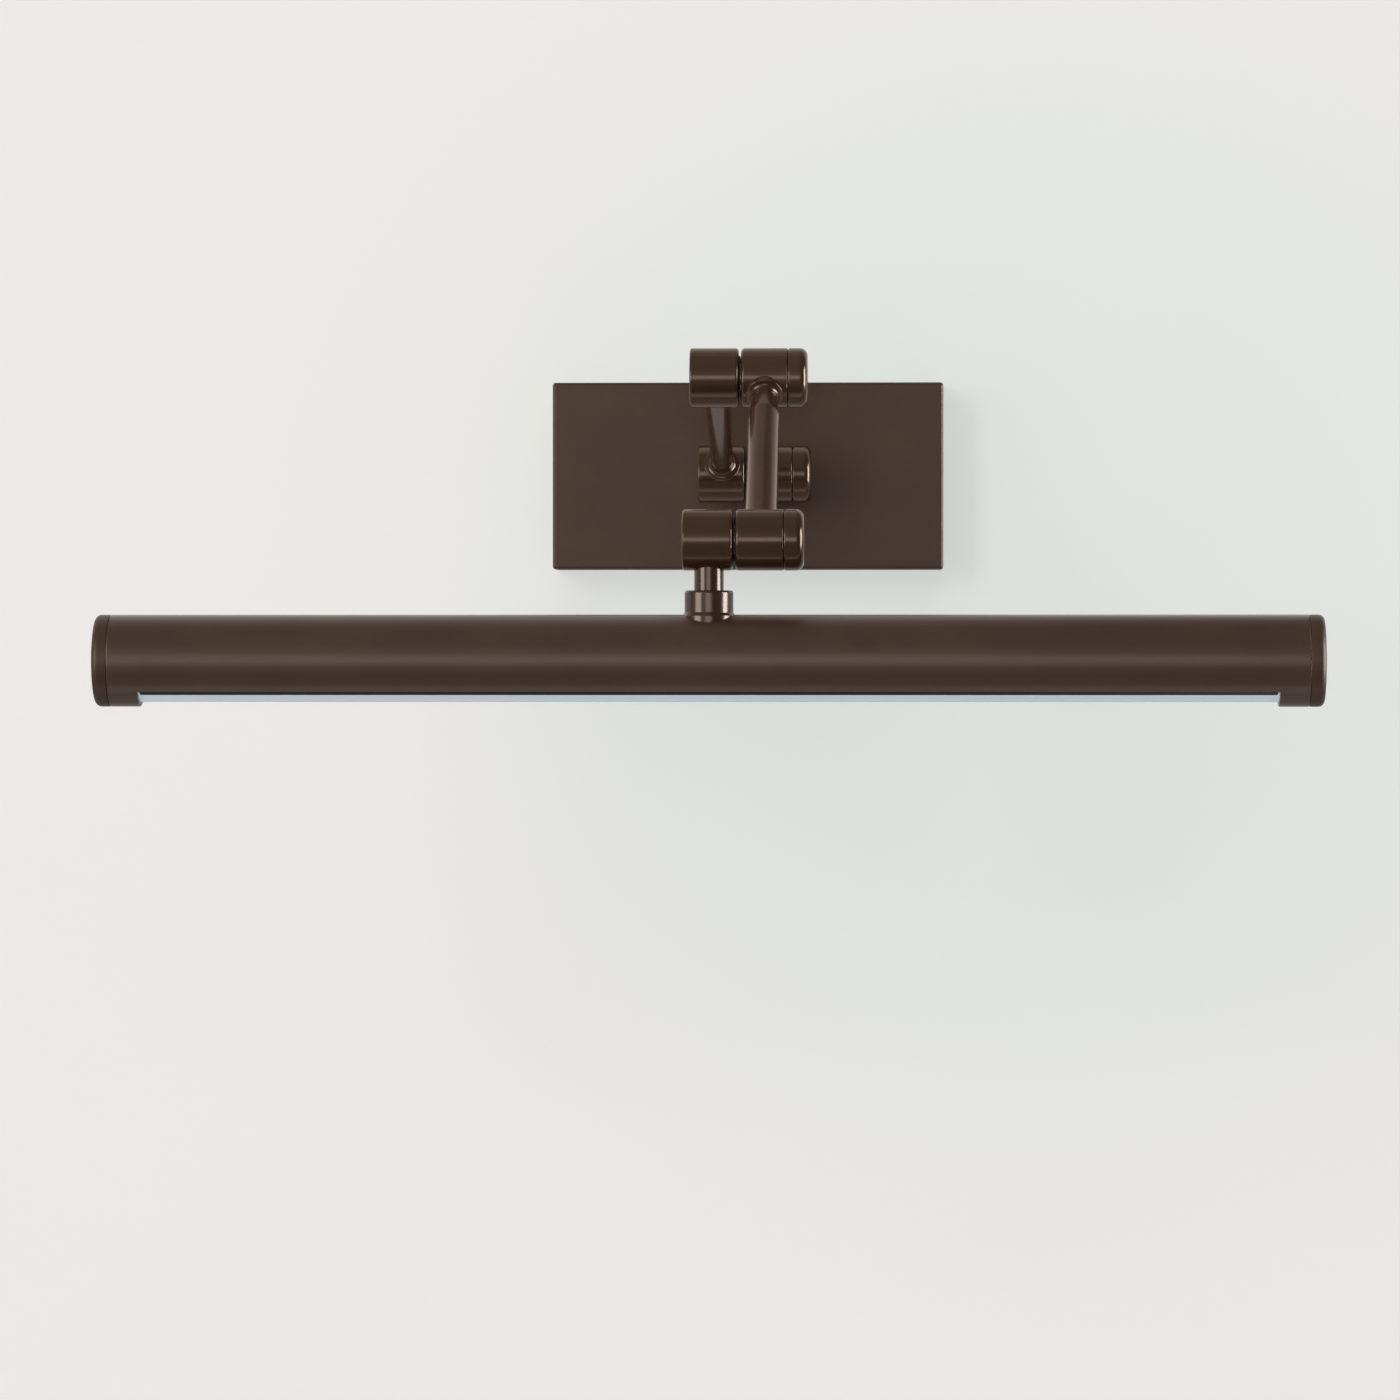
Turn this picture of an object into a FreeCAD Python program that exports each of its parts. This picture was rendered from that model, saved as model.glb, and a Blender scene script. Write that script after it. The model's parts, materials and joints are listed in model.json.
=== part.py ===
import FreeCAD, Part
import math
import os

# Picture light for a wall: a flat wall plate, two swing arms with three barrel knuckles, a short
# swivel neck and a horizontal lamp tube with a light slot along its underside.
#
# Frame: +Z is up, the wall is the plane y = 0, and the light stands out from it towards -Y.
# The origin is the centre of the plate's wall side. Every knuckle turns about a line along X.
# Lengths are in millimetres and angles in degrees.

# Wall plate and its bracket
PLATE_WIDTH = 149.2
PLATE_HEIGHT = 71.3
PLATE_DEPTH = 22.0
PLATE_WALL = 1.5
PLATE_EDGE = 1.2
BRACKET_WIDTH = 108.0
BRACKET_HEIGHT = 30.0
BRACKET_THICK = 1.6
FIXING_SPACING = 83.3
FIXING_SLOT_LENGTH = 14.0
FIXING_SLOT_R = 2.2
SUPPLY_HOLE_R = 8.0
SUPPLY_HOLE_X = -14.0
TAB_X = 45.0
TAB_WIDTH = 12.0
TAB_DEPTH_LOW = 14.0
TAB_DEPTH_HIGH = 5.0
SET_SCREW_R = 1.9
SET_SCREW_Y = -8.0
SET_SCREW_LENGTH = 5.0
SOCKET_FLATS = 2.0
SOCKET_DEPTH = 2.0

# Arms and where their knuckles lie
WALL_AXIS_OUT = 42.0
ARM_PITCH = 100.0
ARM_1_RISE = 18.9
ARM_2_FALL = 37.2
LEFT_X = -8.9
RIGHT_X = 9.1

# Barrel knuckle, along X from the middle of the gap
BARREL_R = 10.8
LEFT_END = -18.2
HALF_GAP = 0.45
RIGHT_END = 17.4
CAP_END = 24.6
LEFT_END_ROUND = 0.8
GAP_ROUND_LEFT = 1.1
GAP_ROUND_RIGHT = 1.3
BARREL_SEAM_ROUND = 0.5
CAP_SEAM_ROUND = 0.9
CAP_ROUND = 2.8
PIVOT_R = 5.0
PIVOT_BORE_R = 3.25
PIVOT_LEFT = -6.2
PIVOT_RIGHT = 7.2
CHAMBER_END = -14.2
CHAMBER_TIP = -15.4
RUNNING_CLEARANCE = 0.05
WEB_END = 3.0
CUP_R = 7.6
CAP_SPIGOT_START = 13.9
CAP_HOLLOW_R = 6.4
CAP_HOLLOW_END = 22.0
THRUST_WASHER_R = 8.0
THRUST_WASHER_THICK = 0.6
FRICTION_WASHER_R = 7.5
FRICTION_WASHER_BORE = 5.4
FRICTION_WASHER_THICK = 0.8
SPRING_WASHER_R = 7.0
SPRING_WASHER_START = 4.1
SPRING_WASHER_DISH = 0.35
SPRING_WASHER_THICK = 0.5
LOCK_NUT_START = 4.95
LOCK_NUT_END = 7.0
LOCK_NUT_FLATS = 12.4

# Arm tubes, measured from the knuckle axis that each one starts at
LEFT_SPIGOT_START = 6.2
RIGHT_SPIGOT_START = 8.2
SPIGOT_COVER = 11.8
FOOT_R = 6.75
FOOT_START = 8.0
FOOT_TOP = 11.2
FOOT_ROUND = 0.35
FOOT_FILLET_SHARE = 0.75
ARM_1_ROOT_R = 4.1
ARM_1_TIP_R = 5.3
ARM_2_ROOT_R = 4.3
ARM_2_R = 5.6
ARM_2_CONE_START = 13.0
ARM_2_CONE_END = 24.0
ARM_1_BORE_R = 3.1
ARM_2_BORE_R = 3.3
TIP_SPIGOT_R = 4.5
LEAD_R = 1.2
LEAD_BEND = 4.0
LEAD_LEFT_X = LEFT_X - 1.3
LEAD_RIGHT_X = RIGHT_X + 1.4
NECK_LEAD_HIGH = 13.0
NECK_LEAD_LOW = 22.0
NECK_LEAD_BEND = 12.0

# Wall stem, measured from the wall knuckle's axis towards the wall
STEM_R = 5.1
STEM_SPIGOT_R = 4.3
STEM_FLANGE_R = 8.0
STEM_FLANGE_START = 17.2
STEM_NIPPLE_R = 5.0
STEM_END = 26.8
STEM_NUT_FLATS = 15.0
STEM_NUT_THICK = 3.0
STEM_WASHER_R = 8.6
STEM_WASHER_THICK = 0.9

# Neck, collar and swivel, measured down from the lower knuckle's axis
NECK_R = 5.2
NECK_SPIGOT_R = 4.3
NECK_BORE_R = 3.25
NECK_START = 8.0
NECK_END = 34.6
NECK_END_ROUND = 0.5
COLLAR_R = 8.6
COLLAR_TOP = 17.8
COLLAR_FLARE_R = 9.25
COLLAR_FLARE_START = 25.6
COLLAR_FLARE_END = 26.7
COLLAR_BOTTOM = 31.0
COLLAR_CHAMFER = 1.0
COLLAR_WAIST_ROUND = 1.0
COLLAR_FLARE_ROUND = 0.4
SADDLE_HALF_X = 9.0
SADDLE_HALF_Y = 8.0
SADDLE_BOTTOM = 30.6
SWIVEL_WASHER_TOP = 30.9
SWIVEL_WASHER_R = 7.5
SWIVEL_WASHER_THICK = 0.6
SWIVEL_NUT_FLATS = 14.0
SWIVEL_NUT_THICK = 2.5
HEAD_DROP = 42.5
HEAD_SHIFT = -0.25

# Lamp tube and what it holds, measured from the tube's own centre
TUBE_R = 16.2
TUBE_WALL = 1.6
TUBE_HALF_LENGTH = 211.0
HEAD_HALF_LENGTH = 216.3
TUBE_END_ROUND = 0.4
SLOT_HALF_LENGTH = 200.3
SLOT_HALF_ANGLE = 45.5
SLOT_LIP_ROUND = 0.5
CARRIER_HALF_LENGTH = 205.6
CARRIER_WALL = 1.2
CARRIER_LOW_ANGLE = 51.0
CARRIER_HIGH_ANGLE = 97.0
CARRIER_PLATE_LOW = 1.0
CARRIER_PLATE_HIGH = 2.8
DIFFUSER_HALF_ANGLE = 50.0
DIFFUSER_THICK = 1.5
BOARD_LENGTH = 400.0
BOARD_WIDTH = 10.0
BOARD_THICK = 1.0
CHIP_PITCH = 11.0
CHIP_PAIRS = 17
CHIP_LENGTH = 3.5
CHIP_WIDTH = 2.8
CHIP_THICK = 0.7
BOARD_SCREW_STEPS = (-16, -6, 6, 16)
BOARD_SCREW_R = 1.25
BOARD_SCREW_HEAD_R = 2.2
BOARD_SCREW_HEAD = 1.3
HEAD_LEAD_BEND = 3.5
HEAD_LEAD_LEVEL = 38.3
CONNECTOR_START = 12.0
CONNECTOR_LENGTH = 10.0
CONNECTOR_WIDTH = 10.0
CONNECTOR_HEIGHT = 3.5
CAP_ROUND_END = 2.2
CAP_INNER_ROUND = 0.5
CAP_SPIGOT_LENGTH = 5.0
CAP_SPIGOT_WALL = 2.0
CAP_SPIGOT_ROUND = 0.4
CAP_PLATE_THICK = 3.0
END_SCREW_X = 208.4
END_SCREW_R = 1.5
END_SCREW_INNER = 12.6
END_SCREW_OUTER = 16.0
END_SCREW_ANGLE = 45.0

# LED driver and terminals inside the wall plate
DRIVER_LOW = FreeCAD.Vector(-60.0, -20.5, 11.0)
DRIVER_SIZE = FreeCAD.Vector(64.0, 12.0, 22.0)
DRIVER_WALL = 1.2
DRIVER_BOARD_Y = -16.5
DRIVER_BOARD_THICK = 1.6
TRANSFORMER = (FreeCAD.Vector(-34.0, 0, 15.0), FreeCAD.Vector(13.0, 6.0, 12.0))
CHOKE = (FreeCAD.Vector(-50.0, 0, 14.0), FreeCAD.Vector(8.0, 5.0, 8.0))
CAPACITOR = (FreeCAD.Vector(-10.0, 0, 22.0), 4.0, 6.0)
TERMINAL_LOW = FreeCAD.Vector(18.0, -20.5, 14.0)
TERMINAL_SIZE = FreeCAD.Vector(26.0, 11.0, 12.0)
TERMINAL_POLES = 3
TERMINAL_PITCH = 8.0
TERMINAL_ENTRY_R = 1.6
TERMINAL_ENTRY_DEPTH = 7.0
TERMINAL_SCREW_R = 1.8
TERMINAL_SCREW_DEPTH = 4.0
TERMINAL_SCREW_BELOW_TOP = 4.0
TERMINAL_SCREW_CLEAR = 0.6
TERMINAL_SCREW_LENGTH = 2.6
DRIVE_SLOT_WIDTH = 0.6
DRIVE_SLOT_DEPTH = 0.8
OUTPUT_LEAD_Y = -13.5
OUTPUT_LEAD_Z = 19.0
INPUT_LEAD_Y = -10.5
INPUT_LEAD_LOW_Z = 7.5
INPUT_LEAD_HIGH_Z = 22.0
INPUT_LEAD_LEFT_X = -66.5
GROUND_SCREW_X = 13.0
GROUND_SCREW_Z = -8.0
GROUND_SCREW_R = 2.0
GROUND_SCREW_HEAD_R = 3.8
GROUND_SCREW_HEAD = 2.4
GROUND_SCREW_DOME = 1.6
GROUND_SLOT_DEPTH = 1.0
GROUND_SLOT_WIDTH = 1.0

Vector = FreeCAD.Vector
ALONG_X = Vector(1, 0, 0)
TO_WALL = Vector(0, 1, 0)
UP = Vector(0, 0, 1)
DOWN = Vector(0, 0, -1)
TINY = 1e-6

ARM_1_DIR = Vector(0, -math.cos(math.radians(ARM_1_RISE)), math.sin(math.radians(ARM_1_RISE)))
ARM_2_DIR = Vector(0, -math.cos(math.radians(ARM_2_FALL)), -math.sin(math.radians(ARM_2_FALL)))
WALL_AXIS = Vector(0, -WALL_AXIS_OUT, 0)
UPPER_AXIS = WALL_AXIS + ARM_1_DIR * ARM_PITCH
LOWER_AXIS = UPPER_AXIS + ARM_2_DIR * ARM_PITCH
NECK_TOP = LOWER_AXIS + ALONG_X * LEFT_X
TUBE_CENTRE = NECK_TOP + DOWN * HEAD_DROP + ALONG_X * HEAD_SHIFT
TUBE_BORE_R = TUBE_R - TUBE_WALL
PLATE_FACE_INSIDE = -PLATE_DEPTH + PLATE_WALL


def rounded_wire(corners, closed):
    """Straight runs joined by tangent arcs. Each corner is a point and its radius, 0 for sharp."""
    count = len(corners)
    bends = []
    for i, (point, radius) in enumerate(corners):
        if radius == 0 or (not closed and i in (0, count - 1)):
            bends.append((point, None, point))
            continue
        back = (corners[i - 1][0] - point).normalize()
        ahead = (corners[(i + 1) % count][0] - point).normalize()
        half_angle = back.getAngle(ahead) / 2
        setback = radius / math.tan(half_angle)
        inward = (back + ahead).normalize()
        middle = point + inward * (radius / math.sin(half_angle) - radius)
        bends.append((point + back * setback, middle, point + ahead * setback))
    edges = []
    for i, (start, middle, end) in enumerate(bends):
        if middle is not None:
            edges.append(Part.Arc(start, middle, end).toShape())
        if closed or i < count - 1:
            following = bends[(i + 1) % count][0]
            if end.distanceToPoint(following) > TINY:
                edges.append(Part.LineSegment(end, following).toShape())
    return Part.Wire(edges)


def turned(base, axis, side, profile):
    """Solid of revolution. The profile lists (distance along the axis, radius, corner radius)."""
    corners = [(base + axis * s + side * r, rounding) for s, r, rounding in profile]
    return Part.Face(rounded_wire(corners, True)).revolve(base, axis, 360)


def ring(base, axis, start, end, outer_r, inner_r):
    """Plain tube or washer between two distances along an axis."""
    outer = Part.makeCylinder(outer_r, end - start, base + axis * start, axis)
    return outer.cut(Part.makeCylinder(inner_r, end - start, base + axis * start, axis))


def hex_bar(base, axis, side, length, flats):
    """Six-sided bar that starts at a point and runs along an axis."""
    across = axis.cross(side)
    corner_r = flats / math.sqrt(3)
    points = []
    for i in range(7):
        turn = math.radians(60 * i)
        offset = side * math.cos(turn) + across * math.sin(turn)
        points.append(base + offset * corner_r)
    return Part.Face(Part.makePolygon(points)).extrude(axis * length)


def hex_nut(base, axis, side, start, end, flats, bore_r):
    """Six-sided nut with its bore, between two distances along an axis."""
    blank = hex_bar(base + axis * start, axis, side, end - start, flats)
    return blank.cut(Part.makeCylinder(bore_r, end - start, base + axis * start, axis))


def lead(corners):
    """Round two-core lead that follows straight runs and tangent bends."""
    path = rounded_wire(corners, False)
    start = corners[0][0]
    heading = (corners[1][0] - start).normalize()
    section = Part.Wire([Part.makeCircle(LEAD_R, start, heading)])
    return path.makePipeShell([section], True, False)


def box_between(low, high):
    """Box from its low corner to its high corner."""
    size = high - low
    return Part.makeBox(size.x, size.y, size.z, low)


def barrel_zone(axis_point):
    """Cylinder the size of a whole knuckle, used to shape what meets its curved side."""
    length = 2 * CAP_END
    return Part.makeCylinder(BARREL_R, length, axis_point - ALONG_X * CAP_END, ALONG_X)


def left_barrel(axis_point, arm_dir, spigot_r):
    """Left half of a knuckle: blind threaded chamber for the pivot tube and a side hole for its arm."""
    body = turned(axis_point, ALONG_X, UP, [
        (LEFT_END, 0, 0),
        (LEFT_END, BARREL_R, LEFT_END_ROUND),
        (-HALF_GAP, BARREL_R, GAP_ROUND_LEFT),
        (-HALF_GAP, PIVOT_R, 0),
        (CHAMBER_END, PIVOT_R, 0),
        (CHAMBER_TIP, 0, 0),
    ])
    start = axis_point + ALONG_X * LEFT_X + arm_dir * (PIVOT_R / 2)
    return body.cut(Part.makeCylinder(spigot_r, BARREL_R, start, arm_dir))


def right_barrel(axis_point, arm_dir, spigot_r):
    """Right half of a knuckle: a cup with a web that runs on the pivot tube."""
    body = turned(axis_point, ALONG_X, UP, [
        (HALF_GAP, PIVOT_R + RUNNING_CLEARANCE, 0),
        (HALF_GAP, BARREL_R, GAP_ROUND_RIGHT),
        (RIGHT_END, BARREL_R, BARREL_SEAM_ROUND),
        (RIGHT_END, CUP_R, 0),
        (WEB_END, CUP_R, 0),
        (WEB_END, PIVOT_R + RUNNING_CLEARANCE, 0),
    ])
    start = axis_point + ALONG_X * RIGHT_X + arm_dir * (CUP_R / 2)
    return body.cut(Part.makeCylinder(spigot_r, BARREL_R, start, arm_dir))


def knuckle_cap(axis_point):
    """Round-edged cap pressed into the right barrel's cup."""
    return turned(axis_point, ALONG_X, UP, [
        (CAP_SPIGOT_START, CAP_HOLLOW_R, 0),
        (CAP_SPIGOT_START, CUP_R, 0),
        (RIGHT_END, CUP_R, 0),
        (RIGHT_END, BARREL_R, CAP_SEAM_ROUND),
        (CAP_END, BARREL_R, CAP_ROUND),
        (CAP_END, 0, 0),
        (CAP_HOLLOW_END, 0, 0),
        (CAP_HOLLOW_END, CAP_HOLLOW_R, 0),
    ])


def pivot_tube(axis_point):
    """Hollow pivot screwed into the left barrel. The lead passes through it."""
    return ring(axis_point, ALONG_X, PIVOT_LEFT, PIVOT_RIGHT, PIVOT_R, PIVOT_BORE_R)


def thrust_washer(axis_point):
    """Thin washer in the gap between the two barrels."""
    end = -HALF_GAP + THRUST_WASHER_THICK
    return ring(axis_point, ALONG_X, -HALF_GAP, end, THRUST_WASHER_R, PIVOT_R)


def friction_washer(axis_point):
    """Flat washer that lies on the web inside the right barrel."""
    end = WEB_END + FRICTION_WASHER_THICK
    return ring(axis_point, ALONG_X, WEB_END, end, FRICTION_WASHER_R, FRICTION_WASHER_BORE)


def spring_washer(axis_point):
    """Dished washer that keeps the knuckle stiff."""
    rim = SPRING_WASHER_START
    hub = SPRING_WASHER_START + SPRING_WASHER_DISH
    return turned(axis_point, ALONG_X, UP, [
        (hub, PIVOT_R, 0),
        (hub + SPRING_WASHER_THICK, PIVOT_R, 0),
        (rim + SPRING_WASHER_THICK, SPRING_WASHER_R, 0),
        (rim, SPRING_WASHER_R, 0),
    ])


def lock_nut(axis_point):
    """Thin nut on the pivot tube's free end."""
    return hex_nut(axis_point, ALONG_X, UP, LOCK_NUT_START, LOCK_NUT_END, LOCK_NUT_FLATS, PIVOT_R)


def foot_profile(root_r):
    """Flared foot that stands on a barrel, up to where it meets the root of its tube."""
    return [
        (FOOT_START, 0, 0),
        (FOOT_START, FOOT_R, 0),
        (FOOT_TOP, FOOT_R, FOOT_ROUND),
        (FOOT_TOP, root_r, FOOT_FILLET_SHARE * (FOOT_R - root_r)),
    ]


def arm_1_tube():
    """First arm: one long taper, thin at the wall knuckle and thicker at the upper knuckle."""
    base = WALL_AXIS + ALONG_X * LEFT_X
    tip = ARM_PITCH - FOOT_START
    profile = foot_profile(ARM_1_ROOT_R)
    profile += [(tip, ARM_1_TIP_R, 0), (tip, 0, 0)]
    body = turned(base, ARM_1_DIR, ALONG_X, profile)
    body = body.cut(barrel_zone(WALL_AXIS)).cut(barrel_zone(UPPER_AXIS))
    root_length = SPIGOT_COVER - LEFT_SPIGOT_START
    root_start = base + ARM_1_DIR * LEFT_SPIGOT_START
    tip_start = base + ARM_1_DIR * (ARM_PITCH - SPIGOT_COVER)
    body = body.fuse(Part.makeCylinder(ARM_1_ROOT_R, root_length, root_start, ARM_1_DIR))
    body = body.fuse(Part.makeCylinder(TIP_SPIGOT_R, root_length, tip_start, ARM_1_DIR))
    return body.cut(Part.makeCylinder(ARM_1_BORE_R, ARM_PITCH, base, ARM_1_DIR))


def arm_2_tube():
    """Second arm: necked down at the upper knuckle, then straight to the lower knuckle."""
    base = UPPER_AXIS + ALONG_X * RIGHT_X
    tip = ARM_PITCH - FOOT_START
    profile = foot_profile(ARM_2_ROOT_R)
    profile += [
        (ARM_2_CONE_START, ARM_2_ROOT_R, 2.0),
        (ARM_2_CONE_END, ARM_2_R, 12.0),
        (tip, ARM_2_R, 0),
        (tip, 0, 0),
    ]
    body = turned(base, ARM_2_DIR, ALONG_X, profile)
    body = body.cut(barrel_zone(UPPER_AXIS)).cut(barrel_zone(LOWER_AXIS))
    root_length = SPIGOT_COVER - RIGHT_SPIGOT_START
    root_start = base + ARM_2_DIR * RIGHT_SPIGOT_START
    tip_start = base + ARM_2_DIR * (ARM_PITCH - SPIGOT_COVER)
    body = body.fuse(Part.makeCylinder(ARM_2_ROOT_R, root_length, root_start, ARM_2_DIR))
    body = body.fuse(Part.makeCylinder(TIP_SPIGOT_R, root_length, tip_start, ARM_2_DIR))
    return body.cut(Part.makeCylinder(ARM_2_BORE_R, ARM_PITCH, base, ARM_2_DIR))


def wall_stem():
    """Hollow stem from the wall knuckle's fixed barrel through the plate, with a flange on its face."""
    base = WALL_AXIS + ALONG_X * RIGHT_X
    flange_end = WALL_AXIS_OUT - PLATE_DEPTH
    profile = foot_profile(STEM_R)
    profile += [
        (STEM_FLANGE_START, STEM_R, 1.0),
        (STEM_FLANGE_START, STEM_FLANGE_R, 0.6),
        (flange_end, STEM_FLANGE_R, 0),
        (flange_end, STEM_NIPPLE_R, 0),
        (STEM_END, STEM_NIPPLE_R, 0),
        (STEM_END, 0, 0),
    ]
    body = turned(base, TO_WALL, ALONG_X, profile).cut(barrel_zone(WALL_AXIS))
    root_length = SPIGOT_COVER - RIGHT_SPIGOT_START
    root_start = base + TO_WALL * RIGHT_SPIGOT_START
    body = body.fuse(Part.makeCylinder(STEM_SPIGOT_R, root_length, root_start, TO_WALL))
    return body.cut(Part.makeCylinder(PIVOT_BORE_R, STEM_END + 1, base, TO_WALL))


def wall_stem_washer():
    """Toothed-washer blank between the plate and the stem's nut."""
    base = Vector(RIGHT_X, 0, 0)
    end = PLATE_FACE_INSIDE + STEM_WASHER_THICK
    return ring(base, TO_WALL, PLATE_FACE_INSIDE, end, STEM_WASHER_R, STEM_NIPPLE_R)


def wall_stem_nut():
    """Nut that holds the stem to the plate from inside."""
    base = Vector(RIGHT_X, 0, 0)
    start = PLATE_FACE_INSIDE + STEM_WASHER_THICK
    return hex_nut(base, TO_WALL, UP, start, start + STEM_NUT_THICK, STEM_NUT_FLATS, STEM_NIPPLE_R)


def neck_tube():
    """Neck below the lower knuckle. It runs down through the collar, the tube's wall and the saddle."""
    body = turned(NECK_TOP, DOWN, ALONG_X, [
        (NECK_START, 0, 0),
        (NECK_START, NECK_R, 0),
        (NECK_END, NECK_R, NECK_END_ROUND),
        (NECK_END, 0, 0),
    ])
    body = body.cut(barrel_zone(LOWER_AXIS))
    root_length = SPIGOT_COVER - LEFT_SPIGOT_START
    root_start = NECK_TOP + DOWN * LEFT_SPIGOT_START
    body = body.fuse(Part.makeCylinder(NECK_SPIGOT_R, root_length, root_start, DOWN))
    return body.cut(Part.makeCylinder(NECK_BORE_R, NECK_END + 1, NECK_TOP, DOWN))


def tube_zone(radius, half_length):
    """Cylinder on the lamp tube's axis."""
    start = TUBE_CENTRE - ALONG_X * half_length
    return Part.makeCylinder(radius, 2 * half_length, start, ALONG_X)


def arc_strip(outer_r, inner_r, low_angle, high_angle, half_length):
    """Curved strip on the tube's axis. Its angles are measured from straight down towards the front."""
    def spot(radius, angle):
        turn = math.radians(angle)
        offset = Vector(-half_length, -radius * math.sin(turn), -radius * math.cos(turn))
        return TUBE_CENTRE + offset
    middle = (low_angle + high_angle) / 2
    outer = Part.Arc(spot(outer_r, low_angle), spot(outer_r, middle), spot(outer_r, high_angle))
    inner = Part.Arc(spot(inner_r, high_angle), spot(inner_r, middle), spot(inner_r, low_angle))
    side_1 = Part.LineSegment(spot(outer_r, high_angle), spot(inner_r, high_angle))
    side_2 = Part.LineSegment(spot(inner_r, low_angle), spot(outer_r, low_angle))
    outline = Part.Wire([outer.toShape(), side_1.toShape(), inner.toShape(), side_2.toShape()])
    return Part.Face(outline).extrude(ALONG_X * (2 * half_length))


def collar():
    """Collar on the lamp tube. Its underside is cut to the tube's curve and the neck turns in it."""
    bore_r = NECK_R + RUNNING_CLEARANCE
    body = turned(NECK_TOP, DOWN, ALONG_X, [
        (COLLAR_TOP, bore_r, 0),
        (COLLAR_TOP, COLLAR_R, COLLAR_CHAMFER),
        (COLLAR_FLARE_START, COLLAR_R, COLLAR_WAIST_ROUND),
        (COLLAR_FLARE_END, COLLAR_FLARE_R, COLLAR_FLARE_ROUND),
        (COLLAR_BOTTOM, COLLAR_FLARE_R, 0),
        (COLLAR_BOTTOM, bore_r, 0),
    ])
    return body.cut(tube_zone(TUBE_R, HEAD_HALF_LENGTH))


def swivel_saddle():
    """Block inside the lamp tube: round on top like the tube, flat below for the washer."""
    low = NECK_TOP + Vector(-SADDLE_HALF_X, -SADDLE_HALF_Y, -SADDLE_BOTTOM)
    high = NECK_TOP + Vector(SADDLE_HALF_X, SADDLE_HALF_Y, -COLLAR_FLARE_START)
    block = box_between(low, high).common(tube_zone(TUBE_BORE_R, HEAD_HALF_LENGTH))
    bore = Part.makeCylinder(NECK_R + RUNNING_CLEARANCE, HEAD_DROP, NECK_TOP, DOWN)
    return block.cut(bore)


def swivel_washer():
    """Spring washer under the saddle."""
    end = SWIVEL_WASHER_TOP + SWIVEL_WASHER_THICK
    return ring(NECK_TOP, DOWN, SWIVEL_WASHER_TOP, end, SWIVEL_WASHER_R, NECK_R)


def swivel_nut():
    """Nut on the end of the neck that carries the lamp head."""
    start = SWIVEL_WASHER_TOP + SWIVEL_WASHER_THICK
    return hex_nut(NECK_TOP, DOWN, ALONG_X, start, start + SWIVEL_NUT_THICK, SWIVEL_NUT_FLATS, NECK_R)


def end_screw_axis(side):
    """Middle of the tube at one end screw, and the direction the screw points outwards."""
    turn = math.radians(END_SCREW_ANGLE)
    outward = Vector(0, math.sin(turn), math.cos(turn))
    return TUBE_CENTRE + ALONG_X * (side * END_SCREW_X), outward


def slot_outer_edges(tube):
    """Edges of the light slot on the outside of the tube: two straight lips and two end arcs."""
    lips = []
    for edge in tube.Edges:
        if abs(edge.Vertexes[0].X - TUBE_CENTRE.x) > SLOT_HALF_LENGTH + TINY:
            continue
        spots = [vertex.Point - TUBE_CENTRE for vertex in edge.Vertexes]
        if all(abs(math.hypot(spot.y, spot.z) - TUBE_R) < TINY for spot in spots):
            lips.append(edge)
    return lips


def lamp_tube():
    """Round tube with the light slot below, the neck's hole above and two screw holes behind."""
    body = turned(TUBE_CENTRE, ALONG_X, UP, [
        (-TUBE_HALF_LENGTH, TUBE_BORE_R, 0),
        (-TUBE_HALF_LENGTH, TUBE_R, TUBE_END_ROUND),
        (TUBE_HALF_LENGTH, TUBE_R, TUBE_END_ROUND),
        (TUBE_HALF_LENGTH, TUBE_BORE_R, 0),
    ])
    angle = SLOT_HALF_ANGLE
    slot = arc_strip(TUBE_R + 1, TUBE_BORE_R - 1, -angle, angle, SLOT_HALF_LENGTH)
    body = body.cut(slot)
    body = body.makeFillet(SLOT_LIP_ROUND, slot_outer_edges(body))
    body = body.cut(Part.makeCylinder(NECK_R + RUNNING_CLEARANCE, HEAD_DROP, NECK_TOP, DOWN))
    for side in (-1, 1):
        centre, outward = end_screw_axis(side)
        body = body.cut(Part.makeCylinder(END_SCREW_R, TUBE_R + 1, centre, outward))
    return body


def board_screw_x():
    """Where the board screws stand along the tube, halfway between two chips."""
    return [TUBE_CENTRE.x + step * CHIP_PITCH for step in BOARD_SCREW_STEPS]


def led_carrier():
    """Aluminium channel inside the tube: a flat plate with two curved sides that touch the tube."""
    inner_r = TUBE_BORE_R - CARRIER_WALL
    front = arc_strip(TUBE_BORE_R, inner_r, CARRIER_LOW_ANGLE, CARRIER_HIGH_ANGLE, CARRIER_HALF_LENGTH)
    back = arc_strip(TUBE_BORE_R, inner_r, -CARRIER_HIGH_ANGLE, -CARRIER_LOW_ANGLE, CARRIER_HALF_LENGTH)
    low = TUBE_CENTRE + Vector(-CARRIER_HALF_LENGTH, -TUBE_R, CARRIER_PLATE_LOW)
    high = TUBE_CENTRE + Vector(CARRIER_HALF_LENGTH, TUBE_R, CARRIER_PLATE_HIGH)
    plate = box_between(low, high).common(tube_zone(TUBE_BORE_R, HEAD_HALF_LENGTH))
    body = plate.fuse(front).fuse(back)
    for x in board_screw_x():
        start = Vector(x, TUBE_CENTRE.y, TUBE_CENTRE.z)
        body = body.cut(Part.makeCylinder(BOARD_SCREW_R, TUBE_R, start, UP))
    return body


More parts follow.
